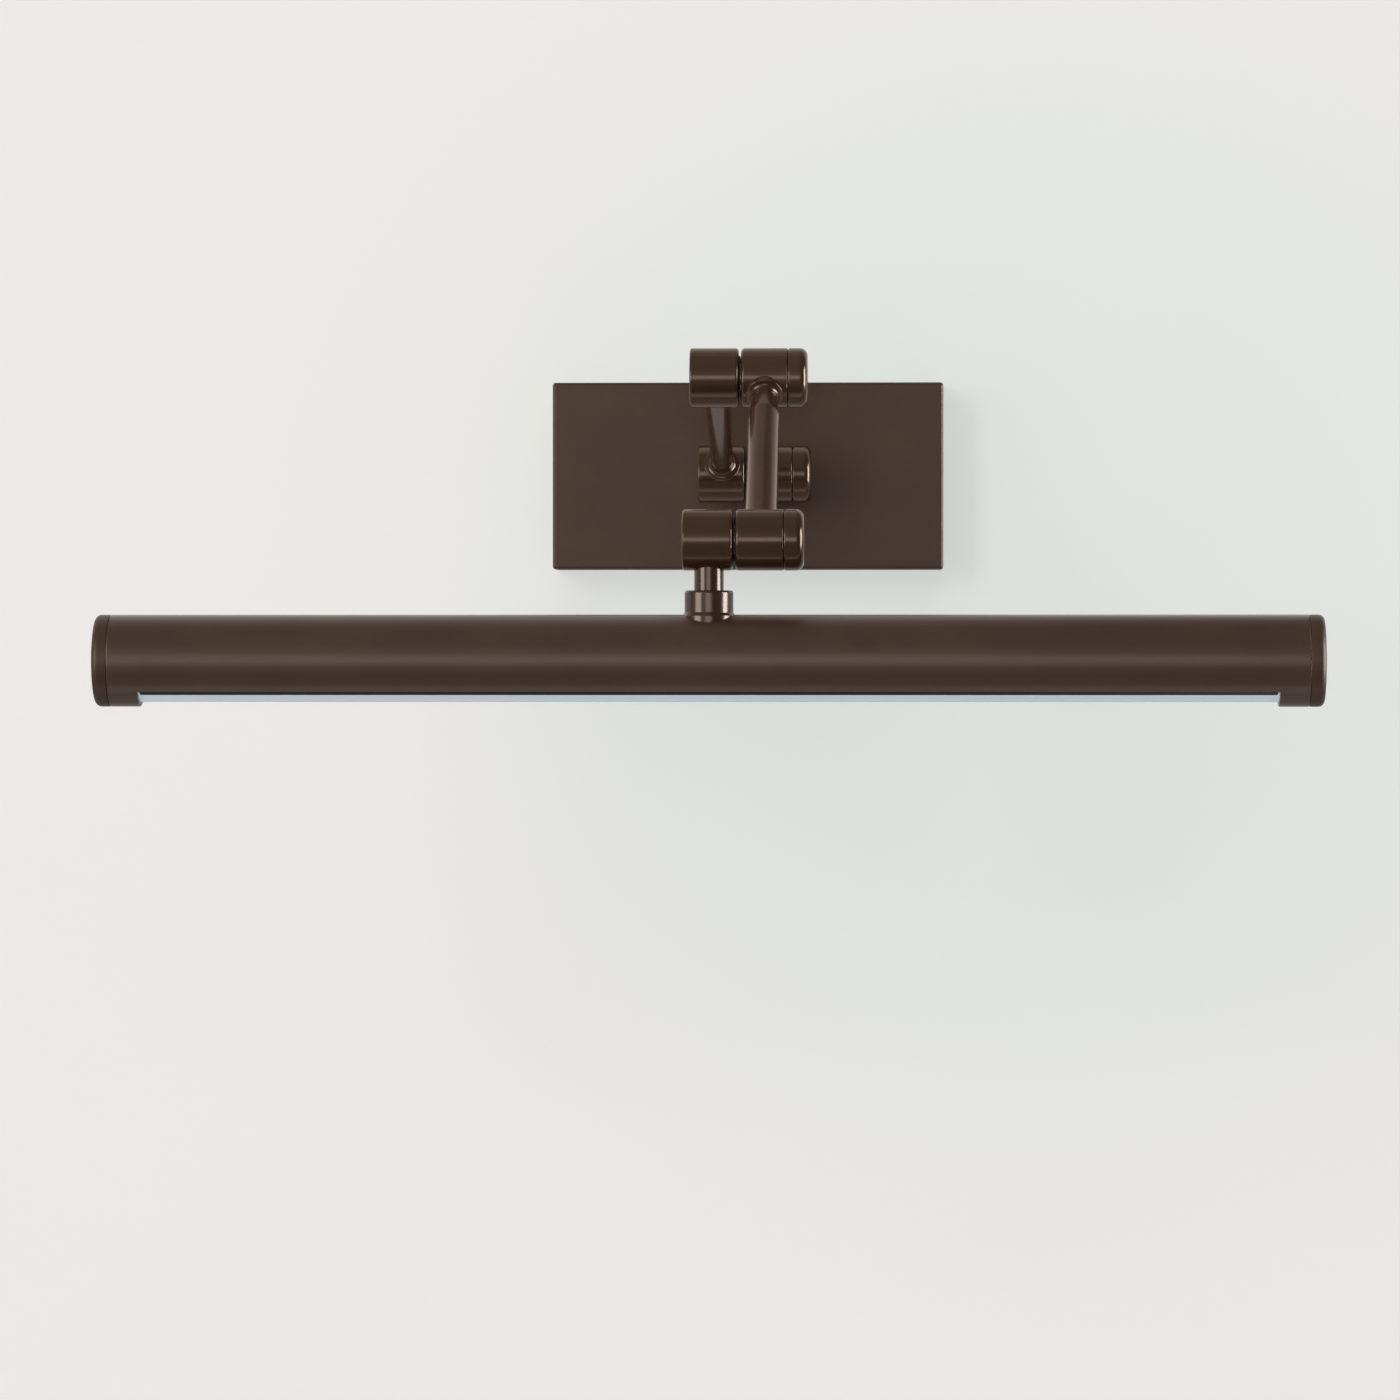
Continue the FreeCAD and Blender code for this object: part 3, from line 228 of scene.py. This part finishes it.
def bronze(name, rough, gleam, grain, grain_height, coat, coat_rough):
    """Dark bronze: a patinated coat with mottled tone, fine machining grain and lighter rubbed edges, which
    are wear and also a painted edge highlight.
    """
    made, t = material(name)
    rounded = t.rounded(BRONZE_EDGE)
    place = t.place()
    cloud = t.noise(place, scale=26.0, detail=5.0, roughness=0.6)
    fine = t.noise(t.place(grain), scale=900.0, detail=3.0, roughness=0.55)
    speck = t.noise(place, scale=1500.0, detail=2.0)
    rub = t.noise(place, scale=240.0, detail=4.0, roughness=0.7)
    tone = t.ramp(cloud, (0.32, BRONZE_DARK), (0.68, BRONZE_WARM))
    tone = t.mix(t.spread(speck, SPECK_FROM, SPECK_TO, to_high=SPECK_SHARE), tone, BRONZE_SHADE)
    # Rubbed edges: wear, and also a painted edge highlight.
    rubbed_and_sheen = t.math("MULTIPLY", t.worn(rounded), t.spread(rub, RUB_FROM, RUB_TO), clamp=True)
    color = t.mix(t.math("MULTIPLY", rubbed_and_sheen, RUB_SHARE), tone, BRONZE_WORN_AND_SHEEN)
    roughness = t.math("ADD", t.swing(cloud, rough, reach=0.03), t.swing(fine, 0.0, reach=0.02))
    roughness = t.math("SUBTRACT", roughness, t.math("MULTIPLY", rubbed_and_sheen, RUB_SHINE))
    height = t.sum(fine, 0.6, speck, 0.4)
    normal = t.bump(height, grain_height, strength=0.7, normal=rounded)
    shade(t, color, roughness, normal, **{
        "Metallic": BRONZE_METALLIC, "Specular Tint": (*gleam, 1.0),
        "Coat Weight": coat, "Coat Roughness": coat_rough})
    return made


def glossy_bronze(name, rough, gleam, grain=EVEN):
    """Bronze under a thin clear coat, as on the small parts."""
    return bronze(name, rough, gleam, grain, GLOSS_GRAIN, GLOSS_COAT, GLOSS_COAT_ROUGH)


def metal(name, light, dark, rough, grain=EVEN, flakes=None):
    """Bare or plated metal with grain, cloudy tone and brighter edges, and crystal flakes if it has any."""
    made, t = material(name)
    rounded = t.rounded(METAL_EDGE)
    place = t.place()
    cloud = t.noise(place, scale=60.0, detail=6.0, roughness=0.65)
    fine = t.noise(t.place(grain), scale=1400.0, detail=4.0, roughness=0.6)
    color = t.ramp(cloud, (NOISE_LOW, dark), (NOISE_HIGH, light))
    if flakes is not None:
        cell = t.node("ShaderNodeTexVoronoi", {"Vector": place, "Scale": FLAKE_SCALE}, feature="F1")
        share = t.math("MULTIPLY", t.vector("LENGTH", cell.outputs["Color"]), FLAKE_SHARE)
        color = t.mix(share, color, flakes)
    polished = t.math("MULTIPLY", t.worn(rounded), 0.5)
    color = t.mix(polished, color, scaled(light, 1.2))
    roughness = t.math("ADD", t.vary(cloud, rough - 0.06, rough + 0.08),
                       t.swing(fine, 0.0, reach=METAL_GRAIN_SWING))
    normal = t.bump(fine, METAL_GRAIN, strength=0.8, normal=rounded)
    shade(t, color, roughness, normal, **{"Metallic": 1.0})
    return made


def plastic(name, light, dark, rough, texture_size=0.35 * MM):
    """Moulded plastic or lacquer: spark-erosion texture, faint cloudiness and polished edges."""
    made, t = material(name)
    rounded = t.rounded(PLASTIC_EDGE)
    worn = t.worn(rounded)
    place = t.place()
    cloud = t.noise(place, scale=45.0, detail=4.0, roughness=0.6)
    pebble = t.node("ShaderNodeTexVoronoi", {"Vector": place, "Scale": 1.0 / texture_size},
                    feature="SMOOTH_F1").outputs["Distance"]
    grit = t.noise(place, scale=2200.0, detail=2.0)
    color = t.ramp(cloud, (NOISE_LOW, dark), (NOISE_HIGH, light))
    polished = t.math("MULTIPLY", worn, 0.25)
    color = t.mix(polished, color, scaled(light, 1.35, lift=0.02))
    roughness = t.vary(grit, rough - 0.05, rough + 0.07)
    roughness = t.math("SUBTRACT", roughness, t.math("MULTIPLY", worn, 0.1))
    height = t.sum(pebble, 0.8, grit, 0.3)
    normal = t.bump(height, PLASTIC_DEPTH, strength=0.7, normal=rounded)
    shade(t, color, roughness, normal)
    return made


def circuit_board(name, mask_color, track_color, pitch):
    """A printed board: solder mask over faint copper tracks in cells of the given pitch."""
    made, t = material(name)
    rounded = t.rounded(BOARD_EDGE)
    cell = t.node("ShaderNodeTexVoronoi", {"Vector": t.place(), "Scale": 1.0 / pitch, "Randomness": 0.35},
                  feature="DISTANCE_TO_EDGE").outputs["Distance"]
    track = t.spread(cell, TRACK_FROM, TRACK_TO)
    cloud = t.noise(t.place(), scale=120.0)
    grit = t.noise(t.place(), scale=3000.0, detail=2.0)
    color = t.mix(track, mask_color, track_color)
    stained = t.math("MULTIPLY", cloud, 0.25)
    color = t.mix(stained, color, scaled(mask_color, 0.6))
    color = t.mix(t.worn(rounded), color, BARE_COPPER)
    normal = t.bump(track, TRACK_HEIGHT, strength=0.8, normal=rounded)
    shade(t, color, t.vary(grit, 0.24, 0.36), normal, **{"Coat Weight": 0.3, "Coat Roughness": 0.15})
    return made


def opal(name):
    """The frosted cover: a milky satin plastic with fine surface frost and a faint glow."""
    made, t = material(name)
    place = t.place()
    cloud = t.noise(place, scale=18.0)
    frost = t.noise(place, scale=1800.0, roughness=0.6)
    color = t.ramp(cloud, (NOISE_LOW, OPAL_MILK), (NOISE_HIGH, OPAL_CLEAR))
    normal = t.bump(frost, OPAL_FROST, strength=0.7, normal=t.rounded(OPAL_EDGE))
    shade(t, color, t.vary(frost, 0.34, 0.46), normal, **{
        "Subsurface Weight": 0.35, "Subsurface Radius": EVEN, "Subsurface Scale": OPAL_DEPTH,
        "Emission Color": OPAL_GLOW_COLOR, "Emission Strength": OPAL_GLOW})
    return made


def led_body(name):
    """A light-emitting package: white moulded frame with a yellow phosphor window."""
    made, t = material(name)
    rounded = t.rounded(LED_EDGE)
    grain = t.noise(t.place(), scale=2600.0)
    facing = t.vector("DOT_PRODUCT", t.node("ShaderNodeNewGeometry").outputs["Normal"], DOWN)
    inside = t.math("SUBTRACT", 1.0, t.worn(rounded))
    window = t.math("MULTIPLY", t.spread(facing, LED_FACING_FROM, LED_FACING_TO), inside, clamp=True)
    color = t.mix(window, LED_FRAME, LED_PHOSPHOR)
    normal = t.bump(grain, LED_GRAIN, strength=0.8, normal=rounded)
    shade(t, color, t.vary(grain, 0.3, 0.5), normal)
    return made


MATERIALS = {
    "diffuser": opal("opal_cover"),
    "aluminium": metal("extruded_aluminium", (0.72, 0.73, 0.74), (0.58, 0.59, 0.60), 0.34,
                       grain=(0.04, 1.0, 1.0)),
    "zinc_steel": metal("zinc_plated_steel", (0.62, 0.63, 0.64), (0.46, 0.47, 0.49), 0.33,
                        flakes=(0.36, 0.38, 0.42)),
    "screw_steel": metal("screw_steel", (0.60, 0.59, 0.57), (0.44, 0.43, 0.42), 0.28),
    "brass": metal("machined_brass", (0.78, 0.58, 0.27), (0.62, 0.43, 0.18), 0.27,
                   grain=(1.0, 0.1, 0.1)),
    "fibre": plastic("acetal_washer", (0.024, 0.021, 0.019), (0.014, 0.012, 0.011), 0.46),
    "ground_green": plastic("green_lacquer", (0.030, 0.26, 0.075), (0.018, 0.18, 0.050), 0.30),
    "case_plastic": plastic("case_plastic", (0.74, 0.74, 0.72), (0.66, 0.66, 0.64), 0.44),
    "terminal_plastic": plastic("terminal_plastic", (0.60, 0.61, 0.60), (0.50, 0.51, 0.50), 0.38),
    "driver_pcb": circuit_board("driver_board", (0.015, 0.115, 0.050), (0.035, 0.185, 0.080), 2.2 * MM),
    "led_pcb": circuit_board("led_board", (0.78, 0.78, 0.76), (0.70, 0.70, 0.66), 3.0 * MM),
    "led_package": led_body("led_package"),
    "lead_sheath": plastic("lead_sheath", (0.030, 0.029, 0.028), (0.018, 0.018, 0.017), 0.40,
                           texture_size=0.5 * MM),
}
# A near-black finish for the slot beads: painted shade along the slot's lips.
SHADE_BEAD_DARK = plastic("shade_bead_dark", (0.012, 0.010, 0.010), (0.005, 0.0045, 0.0045), 0.62)

# The grain is drawn out along the axes where its scale is small.
COATED = bronze("coated_bronze", 0.42, SOFT_GLEAM, (0.03, 1.0, 1.0), SATIN_GRAIN,
                coat=0.9, coat_rough=0.34)
PRESSED = bronze("pressed_bronze", 0.45, PALE_GLEAM, EVEN, SATIN_GRAIN, coat=0.2, coat_rough=0.45)
TURNED = glossy_bronze("turned_bronze", 0.21, WARM_GLEAM, grain=(1.0, 0.05, 0.05))
UPRIGHT = glossy_bronze("upright_bronze", 0.20, PALE_GLEAM, grain=(0.05, 0.05, 1.0))
DRAWN = glossy_bronze("drawn_bronze", 0.20, WARM_GLEAM)
BRONZE_OF = {
    "wall_plate": PRESSED, "end_cap_left": PRESSED, "end_cap_right": PRESSED, "lamp_tube": COATED,
    "arm_1_tube": DRAWN, "arm_2_tube": DRAWN, "wall_stem": DRAWN, "neck_tube": UPRIGHT, "collar": UPRIGHT,
}
SLOT_OF = {part["node"]: part["material_slot"] for part in frame["record"]["subparts"]}


# ---------------------------------------------------------------- camera

CAMERA_AT = (0.06085, -2.5033, -0.0706)
CAMERA_YAW, CAMERA_PITCH = -0.03187, -0.00604
CAMERA_LENS, CAMERA_SENSOR = 167.14, 36.0
CAMERA_NEAR, CAMERA_FAR = 0.05, 50.0


def camera():
    data = bpy.data.cameras.new("camera")
    data.lens, data.sensor_width = CAMERA_LENS, CAMERA_SENSOR
    data.clip_start, data.clip_end = CAMERA_NEAR, CAMERA_FAR
    made = bpy.data.objects.new("camera", data)
    bpy.context.scene.collection.objects.link(made)
    ahead = Vector((math.sin(CAMERA_YAW) * math.cos(CAMERA_PITCH),
                    math.cos(CAMERA_YAW) * math.cos(CAMERA_PITCH), math.sin(CAMERA_PITCH)))
    made.location = CAMERA_AT
    made.rotation_mode = "QUATERNION"
    made.rotation_quaternion = ahead.to_track_quat("-Z", "Y")
    bpy.context.scene.camera = made


# ---------------------------------------------------------------- backdrop

WALL_WARM = (1.0, 0.965, 0.94)
# The cool colour, from COOL_CENTRE out to COOL_OUTER, is painted cool light on the wall around the plate,
# seen only by the camera.
WALL_COOL = (0.90, 0.95, 0.90)
WALL_GREY = (0.9, 0.9, 0.9)
COOL_CENTRE = (0.11, 0.0, -0.04)
COOL_INNER, COOL_OUTER = 0.10, 0.30
WAVE_FROM, WAVE_TO, WAVE_SHARE = 0.35, 0.65, 0.05
WALL_ALBEDO = 0.46
WALL_GLOW = 0.58
WALL_ROUGH_HEIGHT = 0.10 * MM
# UNLIT_COLOR is painted shade: the dark colour the object sees on the backdrop where lit_share gives it less
# light.
UNLIT_COLOR = (0.08, 0.07, 0.065, 1.0)
WALL_GAP = 0.6 * MM
STAGE_HALF_WIDTH = 5.0
STAGE_TOP = 3.0
FLOOR_Z = -1.1
FLOOR_DEPTH = 7.0
COVE_RADIUS = 0.35
COVE_STEPS = 16

# How brightly the object is lit by the floor, from the wall outwards over LIT_DEPTH ...
LIT_DEPTH = 2.0
FLOOR_LEVELS = ((0.0, 1.0), (0.01, 0.2), (0.13, 0.2), (0.16, 1.0), (0.27, 1.0), (0.34, 0.2), (1.0, 0.2))
# ... by the wall, from the floor up to LIT_TOP ...
LIT_TOP = 1.5
WALL_LEVELS = ((0.0, 1.0), (0.13, 1.0), (0.17, 0.25), (0.30, 0.25), (0.40, 0.60), (0.46, 0.78),
               (0.52, 0.62), (0.57, 0.36), (1.0, 0.30))
# ... and by the wall beside the arms, over the heights in BESIDE_SPAN.
BESIDE_SPAN = (-0.1, 0.2)
BESIDE_LEVELS = ((0.1, 0.0), (0.3, 1.0), (0.6, 1.0), (0.8, 0.0))
BESIDE_INNER, BESIDE_OUTER = 0.07, 0.10
# The upper right of the wall lights the object less.
RIGHT_SPAN, RIGHT_RISE, RIGHT_LEVEL = (0.02, 0.12), (0.15, 0.30), 0.35


def lit_share(t, x, y, z):
    """How much of the backdrop's light the object gets from each place."""
    floor = t.ramp(t.spread(y, 0.0, -LIT_DEPTH), *FLOOR_LEVELS)
    wall = t.ramp(t.spread(z, FLOOR_Z, LIT_TOP), *WALL_LEVELS)
    right = t.math("MULTIPLY", t.spread(x, *RIGHT_SPAN), t.spread(z, *RIGHT_RISE))
    beside = t.math("MULTIPLY", t.spread(t.math("ABSOLUTE", x), BESIDE_INNER, BESIDE_OUTER),
                    t.ramp(t.spread(z, *BESIDE_SPAN), *BESIDE_LEVELS))
    share = t.math("MULTIPLY", floor, wall)
    share = t.math("MULTIPLY", share, t.spread(right, 0.0, 1.0, 1.0, RIGHT_LEVEL))
    return t.math("MAXIMUM", share, beside)


def one_sided(t, surface):
    """Seen from behind, and for shadows, the backdrop is clear."""
    behind = t.node("ShaderNodeNewGeometry").outputs["Backfacing"]
    shadow = t.node("ShaderNodeLightPath").outputs["Is Shadow Ray"]
    either = t.math("MAXIMUM", behind, shadow)
    clear = t.node("ShaderNodeBsdfTransparent").outputs[0]
    return t.node("ShaderNodeMixShader", {0: either, 1: surface, 2: clear}).outputs[0]


def plaster():
    """Pale rolled paint for the whole backdrop. It glows softly, and has a painted pool of cool light around
    the plate, which only the camera sees.
    """
    made, t = material("plaster_wall")
    place = t.place()
    roller = t.noise(place, scale=150.0, detail=5.0, roughness=0.62)
    wave = t.noise(place, scale=9.0)
    here = t.node("ShaderNodeTexCoord").outputs["Object"]
    across = t.node("ShaderNodeSeparateXYZ", {0: here}).outputs
    on_wall = t.vector("MULTIPLY", here, (1.0, 0.0, 1.0))
    away = t.vector("LENGTH", t.vector("SUBTRACT", on_wall, COOL_CENTRE))
    cool = t.spread(away, COOL_INNER, COOL_OUTER, 1.0, 0.0)
    seen = t.node("ShaderNodeLightPath").outputs["Is Camera Ray"]
    # Painted cool light around the plate, for camera rays only.
    tone = t.mix(t.math("MULTIPLY", cool, seen), WALL_WARM, WALL_COOL)
    tone = t.mix(t.spread(wave, WAVE_FROM, WAVE_TO, to_high=WAVE_SHARE), tone, WALL_GREY)
    lit = t.mix(WALL_ALBEDO, BLACK, tone)
    normal = t.bump(roller, WALL_ROUGH_HEIGHT, strength=0.6)
    glow = t.node("ShaderNodeEmission", {"Color": tone, "Strength": WALL_GLOW}).outputs[0]
    matte = t.node("ShaderNodeBsdfDiffuse", {"Color": lit, "Normal": normal}).outputs[0]
    bright = t.node("ShaderNodeAddShader", {0: matte, 1: glow}).outputs[0]
    unlit = t.node("ShaderNodeBsdfDiffuse", {"Color": UNLIT_COLOR}).outputs[0]
    share = lit_share(t, across["X"], across["Y"], across["Z"])
    # For all but camera rays the backdrop is painted dark by this share: painted shade in what the object
    # reflects and is lit by.
    dim = t.math("MULTIPLY", t.math("SUBTRACT", 1.0, share), t.math("SUBTRACT", 1.0, seen))
    surface = t.node("ShaderNodeMixShader", {0: dim, 1: bright, 2: unlit}).outputs[0]
    t.end(one_sided(t, surface))
    return made


def backdrop():
    """One sheet: the wall, a cove and the floor. Its lit side faces the room."""
    line = [(WALL_GAP, STAGE_TOP)]
    for step in range(COVE_STEPS + 1):
        turn = math.pi / 2 * step / COVE_STEPS
        line.append((WALL_GAP - COVE_RADIUS * (1 - math.cos(turn)),
                     FLOOR_Z + COVE_RADIUS * (1 - math.sin(turn))))
    line.append((-FLOOR_DEPTH, FLOOR_Z))
    points = []
    for y, z in line:
        points += [(-STAGE_HALF_WIDTH, y, z), (STAGE_HALF_WIDTH, y, z)]
    faces = [(i, i + 2, i + 3, i + 1) for i in range(0, 2 * len(line) - 2, 2)]
    mesh = bpy.data.meshes.new("backdrop")
    mesh.from_pydata(points, [], faces)
    mesh.polygons.foreach_set("use_smooth", [True] * len(faces))
    mesh.materials.append(plaster())
    made = bpy.data.objects.new("backdrop", mesh)
    bpy.context.scene.collection.objects.link(made)


# ---------------------------------------------------------------- light

FRONT_AIM = (-0.009, -0.20, -0.04)
BACK_AIM = (0.0, 0.0, 0.0)
WARM_LIGHT = (1.0, 0.985, 0.96)
PANEL_LIGHT = (1.0, 0.98, 0.95)
COOL_LIGHT = (0.97, 0.985, 1.0)

# The room's light by height (0 is straight down, 1 is straight up) and by direction (0.5 is in front of the
# wall, 0.75 is towards +X). The two are multiplied.
ROOM_HEIGHTS = ((0.0, 0.12), (0.20, 0.10), (0.40, 0.14), (0.48, 0.36), (0.60, 0.36), (0.66, 0.26),
                (0.72, 0.22), (0.84, 0.16), (1.0, 0.12))
ROOM_DIRECTIONS = ((0.0, 0.8), (0.25, 0.7), (0.36, 1.2), (0.44, 1.4), (0.50, 1.1), (0.54, 0.6),
                   (0.58, 0.16), (0.64, 0.30), (0.72, 0.5), (0.80, 0.4), (1.0, 0.8))
ROOM_SEEN = (0.78, 0.785, 0.77)


def softbox(name, azimuth, elevation, distance, size, radiance, aim, tint=WHITE, matte=True, gloss=True):
    """A rectangular light in the given direction from its aim. Azimuth 0 is in front, 90 towards +X."""
    a, e = math.radians(azimuth), math.radians(elevation)
    away = Vector((math.sin(a) * math.cos(e), -math.cos(a) * math.cos(e), math.sin(e)))
    width, height = size
    data = bpy.data.lights.new(name, "AREA")
    data.shape, data.size, data.size_y = "RECTANGLE", width, height
    data.energy = radiance * width * height * math.pi
    data.color = tint
    made = bpy.data.objects.new(name, data)
    bpy.context.scene.collection.objects.link(made)
    made.location = Vector(aim) + away * distance
    made.rotation_mode = "QUATERNION"
    made.rotation_quaternion = (-away).to_track_quat("-Z", "Y")
    made.visible_camera = False
    made.visible_diffuse = matte
    made.visible_glossy = gloss


def studio():
    """Two keys light the matte surfaces, three panels are for reflections only, and two light the back."""
    softbox("left_key", azimuth=-33.0, elevation=14.0, distance=5.0, size=(1.0, 3.0), radiance=7.4,
            aim=FRONT_AIM, tint=WARM_LIGHT, gloss=False)
    softbox("top_key", azimuth=0.0, elevation=78.0, distance=2.5, size=(2.4, 1.4), radiance=2.6,
            aim=FRONT_AIM, gloss=False)
    softbox("left_panel", azimuth=-50.0, elevation=4.0, distance=2.4, size=(1.2, 1.4), radiance=4.2,
            aim=FRONT_AIM, tint=PANEL_LIGHT, matte=False)
    softbox("front_strip", azimuth=-1.5, elevation=0.5, distance=3.4, size=(1.6, 0.75), radiance=1.85,
            aim=FRONT_AIM, matte=False)
    softbox("right_panel", azimuth=86.0, elevation=3.0, distance=1.7, size=(0.85, 1.3), radiance=13.0,
            aim=FRONT_AIM, tint=COOL_LIGHT, matte=False)
    softbox("back_left", azimuth=215.0, elevation=25.0, distance=2.4, size=(1.4, 1.4), radiance=2.4,
            aim=BACK_AIM)
    softbox("back_right", azimuth=140.0, elevation=10.0, distance=2.4, size=(0.9, 1.4), radiance=2.0,
            aim=BACK_AIM)


def room():
    """The room's own light: dim above and below, and a band at eye level that is dark to the right."""
    world = bpy.data.worlds.new("room")
    bpy.context.scene.world = world
    t = Tree(world)
    way = t.node("ShaderNodeSeparateXYZ", {0: t.node("ShaderNodeTexCoord").outputs["Generated"]}).outputs
    height = t.spread(t.math("ARCSINE", way["Z"]), -math.pi / 2, math.pi / 2)
    turn = t.math("ARCTAN2", way["X"], t.math("MULTIPLY", way["Y"], -1.0))
    direction = t.spread(turn, -math.pi, math.pi)
    light = t.vector("MULTIPLY", t.ramp(height, *ROOM_HEIGHTS), t.ramp(direction, *ROOM_DIRECTIONS))
    seen = t.node("ShaderNodeLightPath").outputs["Is Camera Ray"]
    back = t.node("ShaderNodeBackground", {"Color": t.mix(seen, light, ROOM_SEEN), "Strength": 1.0})
    t.link(back.outputs[0], t.node("ShaderNodeOutputWorld").inputs["Surface"])


# ---------------------------------------------------------------- the object

def dress():
    """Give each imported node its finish."""
    bare = [name for name in frame["nodes"] if name not in SLOT_OF]
    if bare:
        raise RuntimeError("nodes with no finish: " + ", ".join(bare))
    for name, thing in frame["nodes"].items():
        slot = SLOT_OF[name]
        made = BRONZE_OF.get(name, TURNED) if slot == "bronze" else MATERIALS[slot]
        if thing.material_slots:
            for spot in thing.material_slots:
                spot.material = made
        else:
            thing.data.materials.append(made)


# The dark beads along the slot paint the shade line at its lips.
# Radii from the tube's axis, and angles in degrees from straight down.
SHADE_BEAD_INNER, SHADE_BEAD_OUTER = 14.55 * MM, 16.32 * MM
SHADE_BEAD_START, SHADE_BEAD_END = 41.6, 47.8
SHADE_BEAD_HALF_LENGTH = 199.6 * MM
SHADE_BEAD_ROUND = 0.3 * MM
SHADE_BEAD_CORNER_STEPS = 5
# Places along the half length, and the size of the section there.
SHADE_BEAD_RINGS = ((-1.0, 0.55), (-0.998, 1.0), (0.998, 1.0), (1.0, 0.55))


def rounded_outline(width, height, radius, steps):
    """Points round a rectangle with rounded corners, centred on the origin."""
    points = []
    for corner, (u, v) in enumerate(((1, 1), (-1, 1), (-1, -1), (1, -1))):
        for step in range(steps + 1):
            turn = math.pi / 2 * (corner + step / steps)
            points.append((u * (width / 2 - radius) + radius * math.cos(turn),
                           v * (height / 2 - radius) + radius * math.sin(turn)))
    return points


def lofted(name, rings, finish, body):
    """A closed solid through rings of points, riding on a body."""
    points = [point for ring in rings for point in ring]
    count = len(rings[0])
    last = (len(rings) - 1) * count
    faces = []
    for start in range(0, last, count):
        for i in range(count):
            j = (i + 1) % count
            faces.append((start + i, start + j, start + count + j, start + count + i))
    faces.append(tuple(reversed(range(count))))
    faces.append(tuple(range(last, last + count)))
    mesh = bpy.data.meshes.new(name)
    mesh.from_pydata(points, [], faces)
    shell = bmesh.new()
    shell.from_mesh(mesh)
    bmesh.ops.recalc_face_normals(shell, faces=shell.faces)
    shell.to_mesh(mesh)
    shell.free()
    mesh.polygons.foreach_set("use_smooth", [len(face.vertices) == 4 for face in mesh.polygons])
    mesh.materials.append(finish)
    made = bpy.data.objects.new(name, mesh)
    bpy.context.scene.collection.objects.link(made)
    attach(made, body)


def slot_shade_beads():
    """A dark bead on each side of the light slot, between the tube's lip and the cover. Its darkness is
    painted shade for the shadow line along the lip.
    """
    low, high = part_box("lamp_tube")
    centre_x, centre_y = (low[0] + high[0]) / 2, (low[1] + high[1]) / 2
    centre_z = high[2] - (high[1] - low[1]) / 2
    middle = math.radians((SHADE_BEAD_START + SHADE_BEAD_END) / 2)
    radius = (SHADE_BEAD_INNER + SHADE_BEAD_OUTER) / 2
    width = math.radians(SHADE_BEAD_END - SHADE_BEAD_START) * radius
    outline = rounded_outline(SHADE_BEAD_OUTER - SHADE_BEAD_INNER, width, SHADE_BEAD_ROUND, SHADE_BEAD_CORNER_STEPS)
    for name, side in (("slot_shade_bead_front", -1.0), ("slot_shade_bead_back", 1.0)):
        out = (side * math.sin(middle), -math.cos(middle))
        along = (side * math.cos(middle), math.sin(middle))
        rings = []
        for place, size in SHADE_BEAD_RINGS:
            ring = []
            for u, v in outline:
                away, across = radius + u * size, v * size
                ring.append((centre_x + place * SHADE_BEAD_HALF_LENGTH,
                             centre_y + out[0] * away + along[0] * across,
                             centre_z + out[1] * away + along[1] * across))
            rings.append(ring)
        lofted(name, rings, SHADE_BEAD_DARK, "lamp_head")


backdrop()
studio()
room()
camera()
dress()
slot_shade_beads()
bpy.context.scene.view_settings.view_transform = "Standard"
